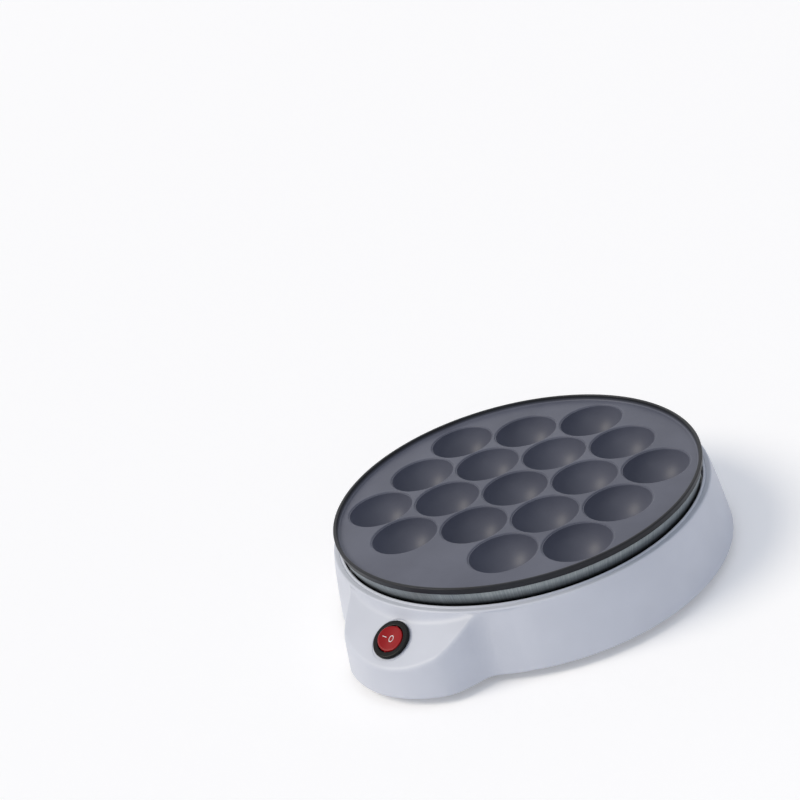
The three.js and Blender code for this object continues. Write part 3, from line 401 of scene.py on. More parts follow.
# Spark erosion leaves the mould, and so the part, with a fine even pitting that breaks up the gloss. Real
# pits are about 0.1 mm across. All grains here are drawn coarser than real ones, so that they show.
WHITE = moulded("spark_eroded_white_abs", "#CDD1DC", "#D2D6E1", 0.42, 0.6, 0.08)
# A polished mould gives clean reflections, kept weak as both pieces look deep in colour.
BLACK = moulded("glossy_black_polycarbonate", "#090A0C", "#0E0F12", 0.28, 0.9, 0.02,
                {"Specular IOR Level": 0.15})
RED = moulded("tinted_red_polycarbonate", "#900D15", "#9D1119", 0.3, 1.2, 0.02, {"Specular IOR Level": 0.2})
# Pad printing lays down a soft, dull film.
PRINT = moulded("white_pad_print", "#F1F1F0", "#F6F6F5", 0.5, 0.4, 0.05)
# Rubber comes dull from its mould, with a coarser grain than plastic.
RUBBER = moulded("moulded_black_rubber", "#202022", "#29292B", 0.75, 0.5, 0.2)
PALE_RUBBER = moulded("moulded_pale_rubber", "#C4C6CD", "#CACCD3", 0.65, 0.5, 0.15)
print("casing's finish:", WHITE.name)

# %% [markdown]
# ## Metals, ceramic and glass inside
# The heater's tube is stainless steel, blued by heat. The pan and the clips are galvanised sheet, whose zinc
# shows faint crystals. Screws are zinc-plated steel, the switch's blades are brass, and the wires wear
# silicone sleeves.

# %% Inner finishes
def metal(name, dark, light, roughness, grain_size, pattern="ShaderNodeTexNoise"):
    """A metal between two tones that follow its grain or crystals, with their size in millimetres."""
    material, tree, shader, place = new_finish(name, dark, roughness, 1.0)
    grain = add_node(tree, pattern, {"Scale": per_mm(grain_size), "Vector": place})
    tones = add_node(tree, "ShaderNodeValToRGB", {"Fac": grain}, ((0.25, dark), (0.75, light)))
    feed(tree, shader, {"Base Color": tones})
    weather(tree, shader, grain, roughness, spread=0.06, strength=0.08, depth=0.1)
    return material


# Heat leaves the drawn tube in clouds of blue grey and brown grey.
SHEATH = metal("heat_blued_stainless_tube", "#5E6068", "#8A8580", 0.35, 6)
# Hot dipping gives the sheet flat zinc crystals, some lighter than others.
SHEET = metal("galvanised_steel_sheet", "#9EA2A6", "#B9BDC0", 0.38, 7, "ShaderNodeTexVoronoi")
# Plating is thin and bright, and keeps the steel's fine unevenness.
SCREW = metal("zinc_plated_steel", "#A8ABB0", "#C4C6C9", 0.28, 1.5)
# Stamping leaves the brass smooth, with slightly duller patches.
BRASS = metal("stamped_brass", "#B08D45", "#C9A75C", 0.3, 2)
# Pressed and fired without a glaze, it is dull and a little rough.
CERAMIC = moulded("unglazed_ceramic", "#E4DDCF", "#ECE7DC", 0.6, 0.8, 0.2)
# Blown glass is smooth and lets most light through.
GLASS = moulded("lamp_glass", "#F2D7C4", "#F6E3D6", 0.08, 2, 0.02, {"Transmission Weight": 0.8})
# Extruded silicone has a soft satin skin.
SLEEVE = moulded("silicone_wire_sleeve", "#D8D3C8", "#E0DCD2", 0.55, 0.7, 0.1)

# The solids that are shown as the frame gives them, by name without the number.
INNER = {
    "bottom_cover": WHITE, "heating_element": SHEATH, "element_pin": SCREW, "element_clamp": SHEET,
    "clamp_screw": SCREW, "heat_shield": SHEET, "plate_screw": SCREW, "shield_screw": SCREW,
    "thermostat_strap": SHEET, "fuse_clip": SHEET, "thermostat": CERAMIC, "strap_screw": SCREW,
    "thermal_fuse": SLEEVE, "switch_plunger": BRASS, "switch_arm": BRASS, "switch_terminal": BRASS,
    "switch_lamp": GLASS, "terminal_block": CERAMIC, "terminal_block_screw": SCREW, "lead": SLEEVE,
}
dressed = {node: INNER.get(node.rstrip("0123456789").rstrip("_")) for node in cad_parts}
for node, material in dressed.items():
    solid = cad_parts[node]
    if material and not solid.material_slots:
        solid.data.materials.append(material)
    elif material:
        for place in solid.material_slots:
            place.material = material
print("solids dressed:", sum(1 for material in dressed.values() if material))


def finish_piece(piece, material, slot, body, *nodes):
    """Give a finished piece its material, its body and the nodes that it stands for."""
    piece.data.materials.clear()
    piece.data.materials.append(material)
    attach(piece, body)
    if nodes:
        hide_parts(*nodes)
    print(piece.name, "has", len(piece.data.polygons), "faces")


# %% [markdown]
# ## White moulded casing
# The casing is one moulding: a round wall that flares towards its foot, and a tongue with a sloped panel and
# two steep side bevels. Seen from the plate's axis, its outside has one distance at each angle and height,
# so it can be made as a grid of angle and height. At each place the distance is found at which a point
# leaves the solid. The faces meet in small rounds, because a mould has no knife edges.

# %% Outline of the casing
FOOT_Z, LIP_Z, LEDGE_Z = 5.0, 42.6, 39.6
LIP_RADIUS, BASE_RADIUS, OPENING = 112.6, 118.8, 107.9
FLARE_CURVE = 0.75  # the wall flares fastest just under the lip
WALL = 2.4
TONGUE_REACH, TONGUE_LEAN = 143, 4.2
FRONT_ARC, CORNER_ARC, ROOT_RADIUS = (60, 34), (24, 32), 14  # radius and, for an arc, its degrees
ARC_STEPS = 24
PANEL_SLOPE = math.radians(28.4)
PANEL_REACH, PANEL_Z = 126.2, 29.8  # the switch's axis pierces the panel here


def wall_radius(z):
    fall = np.clip((LIP_Z - z) / (LIP_Z - FOOT_Z), 0, None)
    return LIP_RADIUS + (BASE_RADIUS - LIP_RADIUS) * fall ** FLARE_CURVE


def tongue_outline(z):
    """Angle from the front and distance of points along one side of the tongue at a height."""
    lean = TONGUE_LEAN * (z - FOOT_Z) / (LIP_Z - FOOT_Z)
    heading, x, y = 0.0, 0.0, lean - TONGUE_REACH
    points = [(x, y)]
    for size, degrees in (FRONT_ARC, CORNER_ARC):
        radius, turn = size - lean, math.radians(degrees)
        angles = np.linspace(heading, heading + turn, ARC_STEPS)[1:]
        centre = (x - radius * math.sin(heading), y + radius * math.cos(heading))
        points += [(centre[0] + radius * math.sin(a), centre[1] - radius * math.cos(a)) for a in angles]
        (x, y), heading = points[-1], heading + turn
    # The root's arc bends the other way. Its centre slides along the side until it touches the round wall.
    size = ROOT_RADIUS + lean
    along = np.array((math.cos(heading), math.sin(heading)))
    centre = np.array((x + size * along[1], y - size * along[0]))
    ahead, reach = centre @ along, wall_radius(z) + size
    centre = centre + along * (-ahead - math.sqrt(ahead ** 2 - centre @ centre + reach ** 2))
    meeting = math.atan2(-centre[1], -centre[0])
    angles = np.linspace(heading + math.pi / 2, meeting, ARC_STEPS)
    points += [(centre[0] + size * math.cos(a), centre[1] + size * math.sin(a)) for a in angles]
    points = np.array(points)
    return np.arctan2(points[:, 0], -points[:, 1]), np.hypot(points[:, 0], points[:, 1])


print("the tongue's root is", round(math.degrees(tongue_outline(20.0)[0][-1]), 1), "degrees from the front")

# %% [markdown]
# A smooth maximum rounds an outer edge between two faces, and a smooth minimum fills an inner corner. Both
# work on distances to the faces, so the size of the round is a length. The rounds fade out at the tongue's
# root, where the faces run into each other.

# %% Skins of the casing
EDGE_ROUND, CORNER_ROUND = 1.8, 2.4
FINE_ANGLE, FINE_STEP, COARSE_STEP = 46, 0.3, 1.6  # degrees; the fine part holds the tongue and its root
FADE_START, FADE_LENGTH = FINE_ANGLE - 8, 5  # degrees
BEVEL_LEAN, BEVEL_HEADING = math.radians(20), math.radians(35.6)
BEVEL_X, BEVEL_FORWARD = 40, 118  # the bevel meets the panel here
NEAREST, FARTHEST, HALVINGS = 90.0, 160.0, 40  # where a skin is looked for


def smooth_max(a, b, size):
    near = np.maximum(size - np.abs(a - b), 0)
    return np.maximum(a, b) + near ** 2 / (4 * np.maximum(size, 1e-9))


def casing_distance(angle, z, outline, slant, r):
    """How far points at the given angle, height and distance lie outside the casing's solid."""
    x, forward = r * np.sin(angle), r * np.cos(angle)
    fade = np.clip((np.radians(FADE_START) - np.abs(angle)) / np.radians(FADE_LENGTH), 0.001, 1)
    ceiling = (forward - PANEL_REACH) * math.sin(PANEL_SLOPE) + (z - PANEL_Z) * math.cos(PANEL_SLOPE)
    bevel_z = PANEL_Z + (PANEL_REACH - BEVEL_FORWARD) * math.tan(PANEL_SLOPE)
    for side in (-1, 1):
        sideways = (side * x - BEVEL_X) * math.cos(BEVEL_HEADING)
        bevel = math.cos(BEVEL_LEAN) * (sideways + (forward - BEVEL_FORWARD) * math.sin(BEVEL_HEADING))
        ceiling = smooth_max(ceiling, bevel + math.sin(BEVEL_LEAN) * (z - bevel_z), EDGE_ROUND * fade)
    round_wall = r - wall_radius(z)
    top = -smooth_max(-ceiling, -round_wall, CORNER_ROUND * fade)
    return smooth_max((r - outline) * slant, top, EDGE_ROUND * fade)


def casing_skin(angles, heights, inset):
    """Distance from the axis of the skin at each angle and height, moved in by the inset."""
    outline, slant = np.empty((len(angles), len(heights))), np.ones((len(angles), len(heights)))
    for j, z in enumerate(heights):
        turn, reach = tongue_outline(z)
        beyond = np.abs(angles) > turn[-1]
        line = np.interp(np.abs(angles), turn, reach)
        outline[:, j] = np.where(beyond, wall_radius(z), line)
        slope = np.interp(np.abs(angles), turn, np.gradient(reach, turn))
        slant[:, j] = np.where(beyond, 1, line / np.hypot(line, slope))
    angle, z = np.meshgrid(angles, heights, indexing="ij")
    low, high = np.full_like(z, NEAREST), np.full_like(z, FARTHEST)
    for _ in range(HALVINGS):
        middle = (low + high) / 2
        outside = casing_distance(angle, z, outline, slant, middle) > -inset
        low, high = np.where(outside, low, middle), np.where(outside, middle, high)
    return (low + high) / 2


def even_out(heights, reach, count, bend_weight):
    """Choose points along each skin line so that both its length and its bends are well covered."""
    lines = []
    for r in reach:
        step = np.hypot(np.diff(r), np.diff(heights))
        heading = np.unwrap(np.arctan2(np.diff(heights), np.diff(r)))
        bend = np.abs(np.diff(heading, prepend=heading[0]))
        bend = np.convolve(bend, np.ones(9) / 9, "same")
        measure = np.concatenate(([0], np.cumsum(step + bend_weight * bend)))
        at = np.linspace(0, measure[-1], count)
        lines.append(np.stack((np.interp(at, measure, r), np.interp(at, measure, heights)), axis=1))
    return np.array(lines)


def lip_profile(bend_z, bend_round):
    """The top of the wall, from outside to inside: a round, a fine groove, a bead and the opening."""
    lip = arc(wall_radius(bend_z) - bend_round, bend_z, bend_round, 0, 90, 6)[1:]
    lip += [(110.0, LIP_Z), (109.8, 42.35), (109.4, 42.35)]
    lip += arc(108.6, LIP_Z, 0.5, 0, 90, 4) + arc(OPENING + 0.4, 42.7, 0.4, 90, 180, 3)
    return lip + [(OPENING, 42.5), (OPENING, 39.8), (OPENING + 0.2, LEDGE_Z)]


def make_casing():
    fine = np.arange(-FINE_ANGLE, FINE_ANGLE, FINE_STEP)
    coarse = np.arange(FINE_ANGLE, 360 - FINE_ANGLE, COARSE_STEP)
    angles = np.radians(np.concatenate((fine, coarse)))
    folded = (angles + math.pi) % (2 * math.pi) - math.pi
    bend_round = 1.2
    bend_z = LIP_Z - bend_round
    outer_z = np.linspace(FOOT_Z + 0.5, bend_z, 500)
    outer = even_out(outer_z, casing_skin(folded, outer_z, 0), count=84, bend_weight=22)
    inner_z = np.linspace(FOOT_Z, LEDGE_Z, 240)
    inner = even_out(inner_z, casing_skin(folded, inner_z, WALL), count=34, bend_weight=12)[:, ::-1]
    lip = lip_profile(bend_z, bend_round)
    points = []
    for angle, out, hidden in zip(angles, outer, inner):
        foot = [(out[0][0] - 0.55, FOOT_Z), (out[0][0] - 0.2, FOOT_Z + 0.12)]
        line = foot + [tuple(p) for p in out] + lip + [tuple(p) for p in hidden]
        points += [AXIS @ Vector((r * math.sin(angle), -r * math.cos(angle), z)) for r, z in line]
    return mesh_object("casing", points, band_faces(len(angles), len(line), len(line)))


casing = make_casing()
print("casing grid:", len(casing.data.vertices), "points")

# %% [markdown]
# The casing has a round hole for the switch, square to the panel, and a spot face with a hole for the cord
# gland at the rear. Columns inside take the screws, and thin gussets tie them to the wall. They are made as
# simple solids and joined or taken away, as a mould's core does it.

# %% Columns, pad and holes
PANEL = AXIS @ Matrix.Translation((0, -PANEL_REACH, PANEL_Z)) @ Matrix.Rotation(PANEL_SLOPE, 4, "X")
SWITCH_HOLE, SWITCH_CUT = 10.2, 4.8  # the hole's radius, and the cut's reach to both sides of the face
GLAND_Z, GLAND_HOLE = 18.5, 5.7
PAD_Y = wall_radius(GLAND_Z) - 1.1
PAD_RADIUS, PAD_DEPTH, PAD_EXTRA, SPOT_FACE_RADIUS = 10, 4, 0.3, 8.3
OVERRUN = 9  # how far the gland's cuts reach beyond the spot face
REARWARD = AXIS @ Matrix.Translation((0, 0, GLAND_Z)) @ Matrix.Rotation(-math.pi / 2, 4, "X")
COLUMN_RADIUS, COLUMN_LOW, COLUMN_HIGH, COLUMN_CIRCLE = 4.5, 12.0, 33.7, 103
FRONT_COLUMN_X, FRONT_COLUMN_REACH = 30, 121


def at_polar(radius, angle):
    return AXIS @ Matrix.Rotation(math.radians(angle), 4, "Z") @ Matrix.Translation((radius, 0, 0))


def make_gusset(angle):
    """A thin rib from a column to the wall, whose far end follows the wall's flare."""
    upper, half_width = 29.2, 1.2
    rim = [(COLUMN_CIRCLE, COLUMN_LOW), (116.6, COLUMN_LOW), (114.4, upper), (COLUMN_CIRCLE, upper)]
    place = at_polar(0, angle)
    sides = [[place @ Vector((r, side, z)) for r, z in rim] for side in (-half_width, half_width)]
    return prism("gusset", *sides)


def make_front_column(x):
    """A column under the sloped panel, cut to the panel's slope. It ends inside the panel's wall."""
    low, high, sides, below_face = [], [], 32, 1.4
    for i in range(sides):
        px = x + COLUMN_RADIUS * math.cos(2 * math.pi * i / sides)
        py = COLUMN_RADIUS * math.sin(2 * math.pi * i / sides) - FRONT_COLUMN_REACH
        top = PANEL_Z + (PANEL_REACH + py) * math.tan(PANEL_SLOPE) - below_face
        low.append(AXIS @ Vector((px, py, COLUMN_LOW)))
        high.append(AXIS @ Vector((px, py, top)))
    return prism("front_column", low, high)


for angle in (45, 135, 225, 315):
    spot = at_polar(COLUMN_CIRCLE, angle)
    combine(casing, rod("column", COLUMN_RADIUS, COLUMN_LOW, COLUMN_HIGH, spot, 32), "UNION")
    combine(casing, make_gusset(angle), "UNION")
for x in (-FRONT_COLUMN_X, FRONT_COLUMN_X):
    combine(casing, make_front_column(x), "UNION")
combine(casing, rod("pad", PAD_RADIUS, PAD_Y - PAD_DEPTH, PAD_Y + PAD_EXTRA, REARWARD), "UNION")
combine(casing, rod("spot_face", SPOT_FACE_RADIUS, PAD_Y, PAD_Y + OVERRUN, REARWARD), "DIFFERENCE")
combine(casing, rod("gland_hole", GLAND_HOLE, PAD_Y - OVERRUN, PAD_Y + OVERRUN, REARWARD), "DIFFERENCE")
combine(casing, rod("switch_hole", SWITCH_HOLE, -SWITCH_CUT, SWITCH_CUT, PANEL, 96), "DIFFERENCE")
ring = [(12.3, -0.25), (12.8, -0.25), (13.0, 0.6), (12.1, 0.6)]  # a fine groove round the bezel
combine(casing, turned("ring_line", ring, 128, PANEL), "DIFFERENCE")
finish_piece(crease(casing), WHITE, "white_casing", "base", "upper_casing")

# %% [markdown]
# ## Cast plate
# The plate is one casting: a flat land with a raised rim, a skirt below it, and eighteen cups on a hexagonal
# lattice whose front place is left free. A lattice is a rule, so Geometry Nodes lay it out. The tree takes
# the turned blank, adds a bowl under each place and takes a cup out of each. The mouth of a cup is rounded,
# so the cutter flares where it leaves the land.

# %% Turned blank, bowl and cup
LAND_Z, ROOT_Z = 51.9, 50.6
CUP_PITCH, CUP_RADIUS, CUP_BOTTOM, CUP_WALL = 41.4, 19.4, 32.9, 2.2
BALL_RADIUS = (CUP_RADIUS ** 2 + (LAND_Z - CUP_BOTTOM) ** 2) / (2 * (LAND_Z - CUP_BOTTOM))
BALL_Z = CUP_BOTTOM + BALL_RADIUS


def blank_profile():
    """The blank's half section: underside, skirt, rim and land."""
    under = [(0, 49.3), (106.4, 49.3), (103.2, 38.4), (103.5, 38.0), (105.3, 38.0), (105.6, 38.3)]
    skirt = [(105.6 + 3.55 * share, 38.3 + 12.8 * share) for share in np.linspace(0.05, 1, 16)]
    rim = [(109.3, 51.3), (109.5, 51.4)]
    rim += [(109.5 + 0.42 * share, 51.6 + 2.6 * share) for share in np.linspace(0.1, 1, 5)]
    top = arc(109.2, 54.25, 0.75, 0, 90, 6)[1:] + arc(108.5, 54.4, 0.6, 90, 168, 5)
    inner = [(107.8, 53.9), (107.55, 52.9)] + arc(106.5, 52.9, 1.0, -10, -90, 5)[1:]
    return under + skirt + rim + top + inner + [(104, LAND_Z), (90, LAND_Z), (0, LAND_Z)]


def cup_profile():
    """A cutter for one cup: a ball's lower half, a rounded mouth, and a lid above the land."""
    mouth_round, lid = 0.9, 4.0
    reach = CUP_RADIUS + mouth_round * 0.5
    ball = arc(0, BALL_Z, BALL_RADIUS, -90, -3.2, 26)[1:]
    flare = arc(reach + mouth_round, LAND_Z - 0.004 - mouth_round, mouth_round, 176, 93, 7)[1:]
    top = [(reach + 1.5, LAND_Z + 0.1), (reach + 1.5, LAND_Z + lid), (0, LAND_Z + lid)]
    return [(0, BALL_Z - BALL_RADIUS)] + ball + flare + top


def bowl_profile():
    """The outside of one cup, up to the underside of the land."""
    side = arc(0, BALL_Z, BALL_RADIUS + CUP_WALL, -90, -5, 20)[1:]
    return [(0, BALL_Z - BALL_RADIUS - CUP_WALL)] + side + [(0, ROOT_Z)]


blank = turned("cast_plate", blank_profile(), 256, AXIS)
cup_form = turned("cup_form", cup_profile(), 96)
bowl_form = turned("bowl_form", bowl_profile(), 64)
print("ball radius of a cup:", round(BALL_RADIUS, 2), "mm")

# %% [markdown]
# Under the land the casting carries a saddle for the heating tube, bosses for the clamps, and posts for the
# pan. They are out of sight, but the plate would not hold its heater without them.

# %% Saddle, bosses and posts
TUBE_Z, TUBE_REACH, GROOVE_RADIUS, SADDLE_HALF, CLAMP_HALF = 27.2, 62.1, 3.5, 4.5, 9.2
POST_RADIUS, POST_CIRCLE = 3.8, 101.2
THERMOSTAT_REACH, THERMOSTAT_PAD_RADIUS = 82.8, 11
STRAP_HALF, STRAP_BOSS_RADIUS = 13, 3.4
BOSS_LOW, POST_LOW, PAD_LOW, STRAP_LOW = 23.7, 34.5, 43.3, 35.3  # their lower ends

saddle = [(TUBE_REACH - SADDLE_HALF, TUBE_Z)] + arc(TUBE_REACH, TUBE_Z, GROOVE_RADIUS, 180, 0, 12)
saddle += [(TUBE_REACH + side * SADDLE_HALF, z) for side, z in ((1, TUBE_Z), (1, ROOT_Z), (-1, ROOT_Z))]
combine(blank, turned("saddle", saddle, 96, AXIS), "UNION")
for angle in (90, 210, 330):
    for side in (-CLAMP_HALF, CLAMP_HALF):
        spot = at_polar(TUBE_REACH + side, angle)
        combine(blank, rod("clamp_boss", POST_RADIUS, BOSS_LOW, ROOT_Z, spot, 32), "UNION")
for angle in (0, 120, 240):
    combine(blank, rod("post", POST_RADIUS, POST_LOW, ROOT_Z, at_polar(POST_CIRCLE, angle), 32), "UNION")
spot = at_polar(THERMOSTAT_REACH, 270)
combine(blank, rod("thermostat_pad", THERMOSTAT_PAD_RADIUS, PAD_LOW, ROOT_Z, spot, 48), "UNION")
for x in (-STRAP_HALF, STRAP_HALF):
    spot = AXIS @ Matrix.Translation((x, -THERMOSTAT_REACH, 0))
    combine(blank, rod("strap_boss", STRAP_BOSS_RADIUS, STRAP_LOW, ROOT_Z, spot, 32), "UNION")
print("blank with its saddle and bosses:", len(blank.data.polygons), "faces")

# %% [markdown]
# The tree makes a square grid of points, shears it into a hexagonal lattice, and deletes the corners and the
# front place. It then sets a form on each point, and joins or cuts the forms as solids.

# %% Geometry nodes for the lattice
SIDE_PLACES = 5  # places along the lattice's middle row
MIDDLE_PLACE = SIDE_PLACES // 2


def add_socket(tree, name, kind, value=None):
    socket = tree.interface.new_socket(name=name, in_out="INPUT", socket_type=kind)
    if value is not None:
        socket.default_value = value
    return socket.identifier


def close_tree(tree, name, geometry, finish):
    """The last nodes of a tree: real meshes, their material and the output."""
    tree.interface.new_socket(name=name, in_out="OUTPUT", socket_type="NodeSocketGeometry")
    real = add_node(tree, "GeometryNodeRealizeInstances", {"Geometry": geometry})
    coated = add_node(tree, "GeometryNodeSetMaterial", {"Geometry": real, "Material": finish})
    add_node(tree, "NodeGroupOutput", {name: coated})


def lattice_tree():
    tree = bpy.data.node_groups.new("cups on a hexagonal lattice", "GeometryNodeTree")
    ids = {"blank": add_socket(tree, "Blank", "NodeSocketGeometry"),
           "cup": add_socket(tree, "Cup form", "NodeSocketObject"),
           "bowl": add_socket(tree, "Bowl form", "NodeSocketObject"),
           "pitch": add_socket(tree, "Pitch", "NodeSocketFloat", CUP_PITCH * MM),
           "axis": add_socket(tree, "Axis", "NodeSocketVector", tuple(AXIS.translation * MM)),
           "finish": add_socket(tree, "Finish", "NodeSocketMaterial")}
    given = add_node(tree, "NodeGroupInput").outputs
    grid = add_node(tree, "GeometryNodeMeshGrid", {"Vertices X": SIDE_PLACES, "Vertices Y": SIDE_PLACES})
    index = add_node(tree, "GeometryNodeInputIndex")

    # The row and the place in it, counted from the middle of the grid.
    share = add_node(tree, "ShaderNodeMath", {0: index, 1: SIDE_PLACES}, operation="DIVIDE")
    line = add_node(tree, "ShaderNodeMath", {0: share}, operation="FLOOR")
    row = add_node(tree, "ShaderNodeMath", {0: line, 1: MIDDLE_PLACE}, operation="SUBTRACT")
    step = add_node(tree, "ShaderNodeMath", {0: index, 1: SIDE_PLACES}, operation="MODULO")
    along = add_node(tree, "ShaderNodeMath", {0: step, 1: MIDDLE_PLACE}, operation="SUBTRACT")

    # Each row is moved on by half a pitch, and rows lie closer than places do.
    half_row = add_node(tree, "ShaderNodeMath", {0: row, 1: 0.5}, operation="MULTIPLY")
    sheared = add_node(tree, "ShaderNodeMath", {0: along, 1: half_row}, operation="ADD")
    across = add_node(tree, "ShaderNodeMath", {0: row, 1: math.sqrt(0.75)}, operation="MULTIPLY")
    flat = add_node(tree, "ShaderNodeCombineXYZ", {"X": across, "Y": sheared})
    sized = add_node(tree, "ShaderNodeVectorMath", {0: flat, "Scale": given["Pitch"]}, operation="SCALE")
    placed = add_node(tree, "ShaderNodeVectorMath", {0: sized, 1: given["Axis"]}, operation="ADD")
    moved = add_node(tree, "GeometryNodeSetPosition", {"Geometry": grid, "Position": placed})

    # Two corners stick out of the hexagon, and the front place has no cup.
    both = add_node(tree, "ShaderNodeMath", {0: along, 1: row}, operation="ADD")
    apart = add_node(tree, "ShaderNodeMath", {0: both}, operation="ABSOLUTE")
    corner = add_node(tree, "ShaderNodeMath", {0: apart, 1: MIDDLE_PLACE + 0.5}, operation="GREATER_THAN")
    foremost = add_node(tree, "ShaderNodeMath", {0: along, 1: 0.5 - MIDDLE_PLACE}, operation="LESS_THAN")
    central = add_node(tree, "ShaderNodeMath", {0: row, 1: 0.0}, operation="COMPARE")
    front = add_node(tree, "ShaderNodeMath", {0: foremost, 1: central}, operation="MULTIPLY")
    unused = add_node(tree, "ShaderNodeMath", {0: corner, 1: front}, operation="ADD")
    kept = add_node(tree, "GeometryNodeDeleteGeometry", {"Geometry": moved, "Selection": unused},
                    domain="POINT")

    solid = given["Blank"]
    for form, operation in (("Bowl form", "UNION"), ("Cup form", "DIFFERENCE")):
        shape = add_node(tree, "GeometryNodeObjectInfo", {"Object": given[form]}, transform_space="ORIGINAL")
        copies = add_node(tree, "GeometryNodeInstanceOnPoints",
                          {"Points": kept, "Instance": shape.outputs["Geometry"]})
        joint = add_node(tree, "GeometryNodeMeshBoolean", {"Mesh 2": copies},
                         operation=operation, solver="MANIFOLD")
        feed(tree, joint, {"Mesh 1" if operation == "DIFFERENCE" else "Mesh 2": solid})
        solid = joint
    close_tree(tree, "Plate", solid, given["Finish"])
    return tree, ids


lattice, lattice_ids = lattice_tree()
print("nodes in the tree:", len(lattice.nodes))

# %% Make the plate
def run_tree(piece, tree, ids, values):
    """Set the tree's inputs by their identifiers, evaluate it once and keep its mesh."""
    step = piece.modifiers.new(tree.name, "NODES")
    step.node_group = tree
    for key, value in values.items():
        step[ids[key]] = value
    return apply_modifiers(piece)


plate = run_tree(blank, lattice, lattice_ids, {"cup": cup_form, "bowl": bowl_form, "finish": COATED})
for form in (cup_form, bowl_form):
    bpy.data.objects.remove(form)
finish_piece(crease(plate), COATED, "plate_coating", "base", "cooking_plate")

# %% [markdown]
# ## Switch
# The rocker switch snaps into the panel's hole. Its black bezel is a turned ring with a well-rounded
# shoulder. The red rocker is a slice of a ball with a hollow across its face, and it tips from side to side
# on two short pins. The frame gives it at rest, with the circle's side down.

# %% Bezel and barrel
BLADE_PITCH = 5


def make_switch_body():
    """A barrel closed at the bottom, with a flange, two latches and three slots for the terminals."""
    profile = [(0, -12.4), (9.5, -12.4), (9.9, -12.0), (9.9, 0.3), (11.15, 0.3), (11.3, 0.45), (11.3, 1.2)]
    profile += arc(10.35, 1.25, 0.95, 0, 90, 8)[1:] + [(8.9, 2.2)] + arc(8.5, 1.6, 0.6, 90, 180, 6)
    profile += [(7.9, 0.6), (7.9, -10.9), (0, -10.9)]
    body = turned("switch_bezel", profile, 128, PANEL)
    latch = [(9.4, -7.2), (9.9, -7.2), (10.9, -3.2), (10.7, -2.7), (9.4, -2.7)]
    for side in (-1, 1):
        ends = [[PANEL @ Vector((side * x, y, z)) for x, z in latch] for y in (-2, 2)]
        combine(body, prism("latch", *ends), "UNION")
    slot, slot_ends = oblong(0.7, 2.6), (-13, -10)
    for middle in (-BLADE_PITCH, 0, BLADE_PITCH):
        ends = [[PANEL @ Vector((middle + x, y, z)) for x, y in slot] for z in slot_ends]
        combine(body, prism("slot", *ends), "DIFFERENCE")
    return crease(body)


finish_piece(make_switch_body(), BLACK, "black_switch", "base", "switch_body")

# %% Rocker
PIVOT_RISE, REST_TILT = 0.9, math.radians(10)
ROCKER = PANEL @ Matrix.Translation((0, 0, PIVOT_RISE)) @ Matrix.Rotation(REST_TILT, 4, "Y")
ROCKER_RADIUS, ROCKER_TOP, ROCKER_LOW, ROCKER_EDGE = 7.55, 2.5, -1.6, 0.5
DISH_RADIUS, DISH_DEPTH, DISH_ROUND = 24.0, 0.9, 0.3
RIM_X = 6.9  # about how far out the face's rim lies
STEM_RADIUS, STEM_LOW = 2.2, -5.0
BORE_RADIUS, BORE_LOW, BORE_TOP = 1.2, -5.5, -2.0
PIN_RADIUS, PIN_REACH = 0.8, 8.45


def dish_height(x):
    """Height of the hollow face above the pivot, lower in the middle."""
    hollow = ROCKER_TOP - DISH_DEPTH + DISH_RADIUS - np.sqrt(DISH_RADIUS ** 2 - np.asarray(x, float) ** 2)
    return -smooth_max(-hollow, np.full_like(hollow, -ROCKER_TOP), DISH_ROUND)


def rocker_line(angle):
    """The rocker's section in one direction: hollow face, rounded edge, ball side and stem."""
    top = float(dish_height(RIM_X * math.cos(angle)))
    face = math.sqrt(ROCKER_RADIUS ** 2 - top ** 2) - ROCKER_EDGE
    level = top - ROCKER_EDGE
    line = [(r, float(dish_height(r * math.cos(angle)))) for r in np.linspace(0, face, 14)]
    line += [(face + ROCKER_EDGE * math.sin(b), level + ROCKER_EDGE * math.cos(b))
             for b in np.radians((25, 45, 65))]
    line += [(ROCKER_RADIUS * math.cos(b), ROCKER_RADIUS * math.sin(b))
             for b in np.linspace(math.asin(level / ROCKER_RADIUS), math.asin(ROCKER_LOW / ROCKER_RADIUS), 9)]
    return line + [(STEM_RADIUS, ROCKER_LOW), (STEM_RADIUS, STEM_LOW), (0, STEM_LOW)]


def make_rocker():
    sides, points = 96, []
    for a in np.linspace(0, 2 * math.pi, sides, endpoint=False):
        line = rocker_line(a)
        points += [ROCKER @ Vector((r * math.cos(a), r * math.sin(a), z)) for r, z in line]
    made = mesh_object("rocker", points, band_faces(sides, len(line), len(line) - 1))
    across = ROCKER @ Matrix.Rotation(-math.pi / 2, 4, "X")
    combine(made, rod("pins", PIN_RADIUS, -PIN_REACH, PIN_REACH, across, 24), "UNION")
    combine(made, rod("plunger_bore", BORE_RADIUS, BORE_LOW, BORE_TOP, ROCKER, 24), "DIFFERENCE")
    return crease(made)


finish_piece(make_rocker(), RED, "red_rocker", "rocker", "switch_rocker")

# %% [markdown]
# The marks for on and off are printed on the rocker in white: a bar on the left, an oval ring to the right of
# it. A pad print is a film a few hundredths of a millimetre thick, so each mark is a thin skin that follows
# the hollow, with its underside sunk in the rocker.

# %% Printed marks
PRINT_RISE, PRINT_DEPTH = 0.05, 0.12


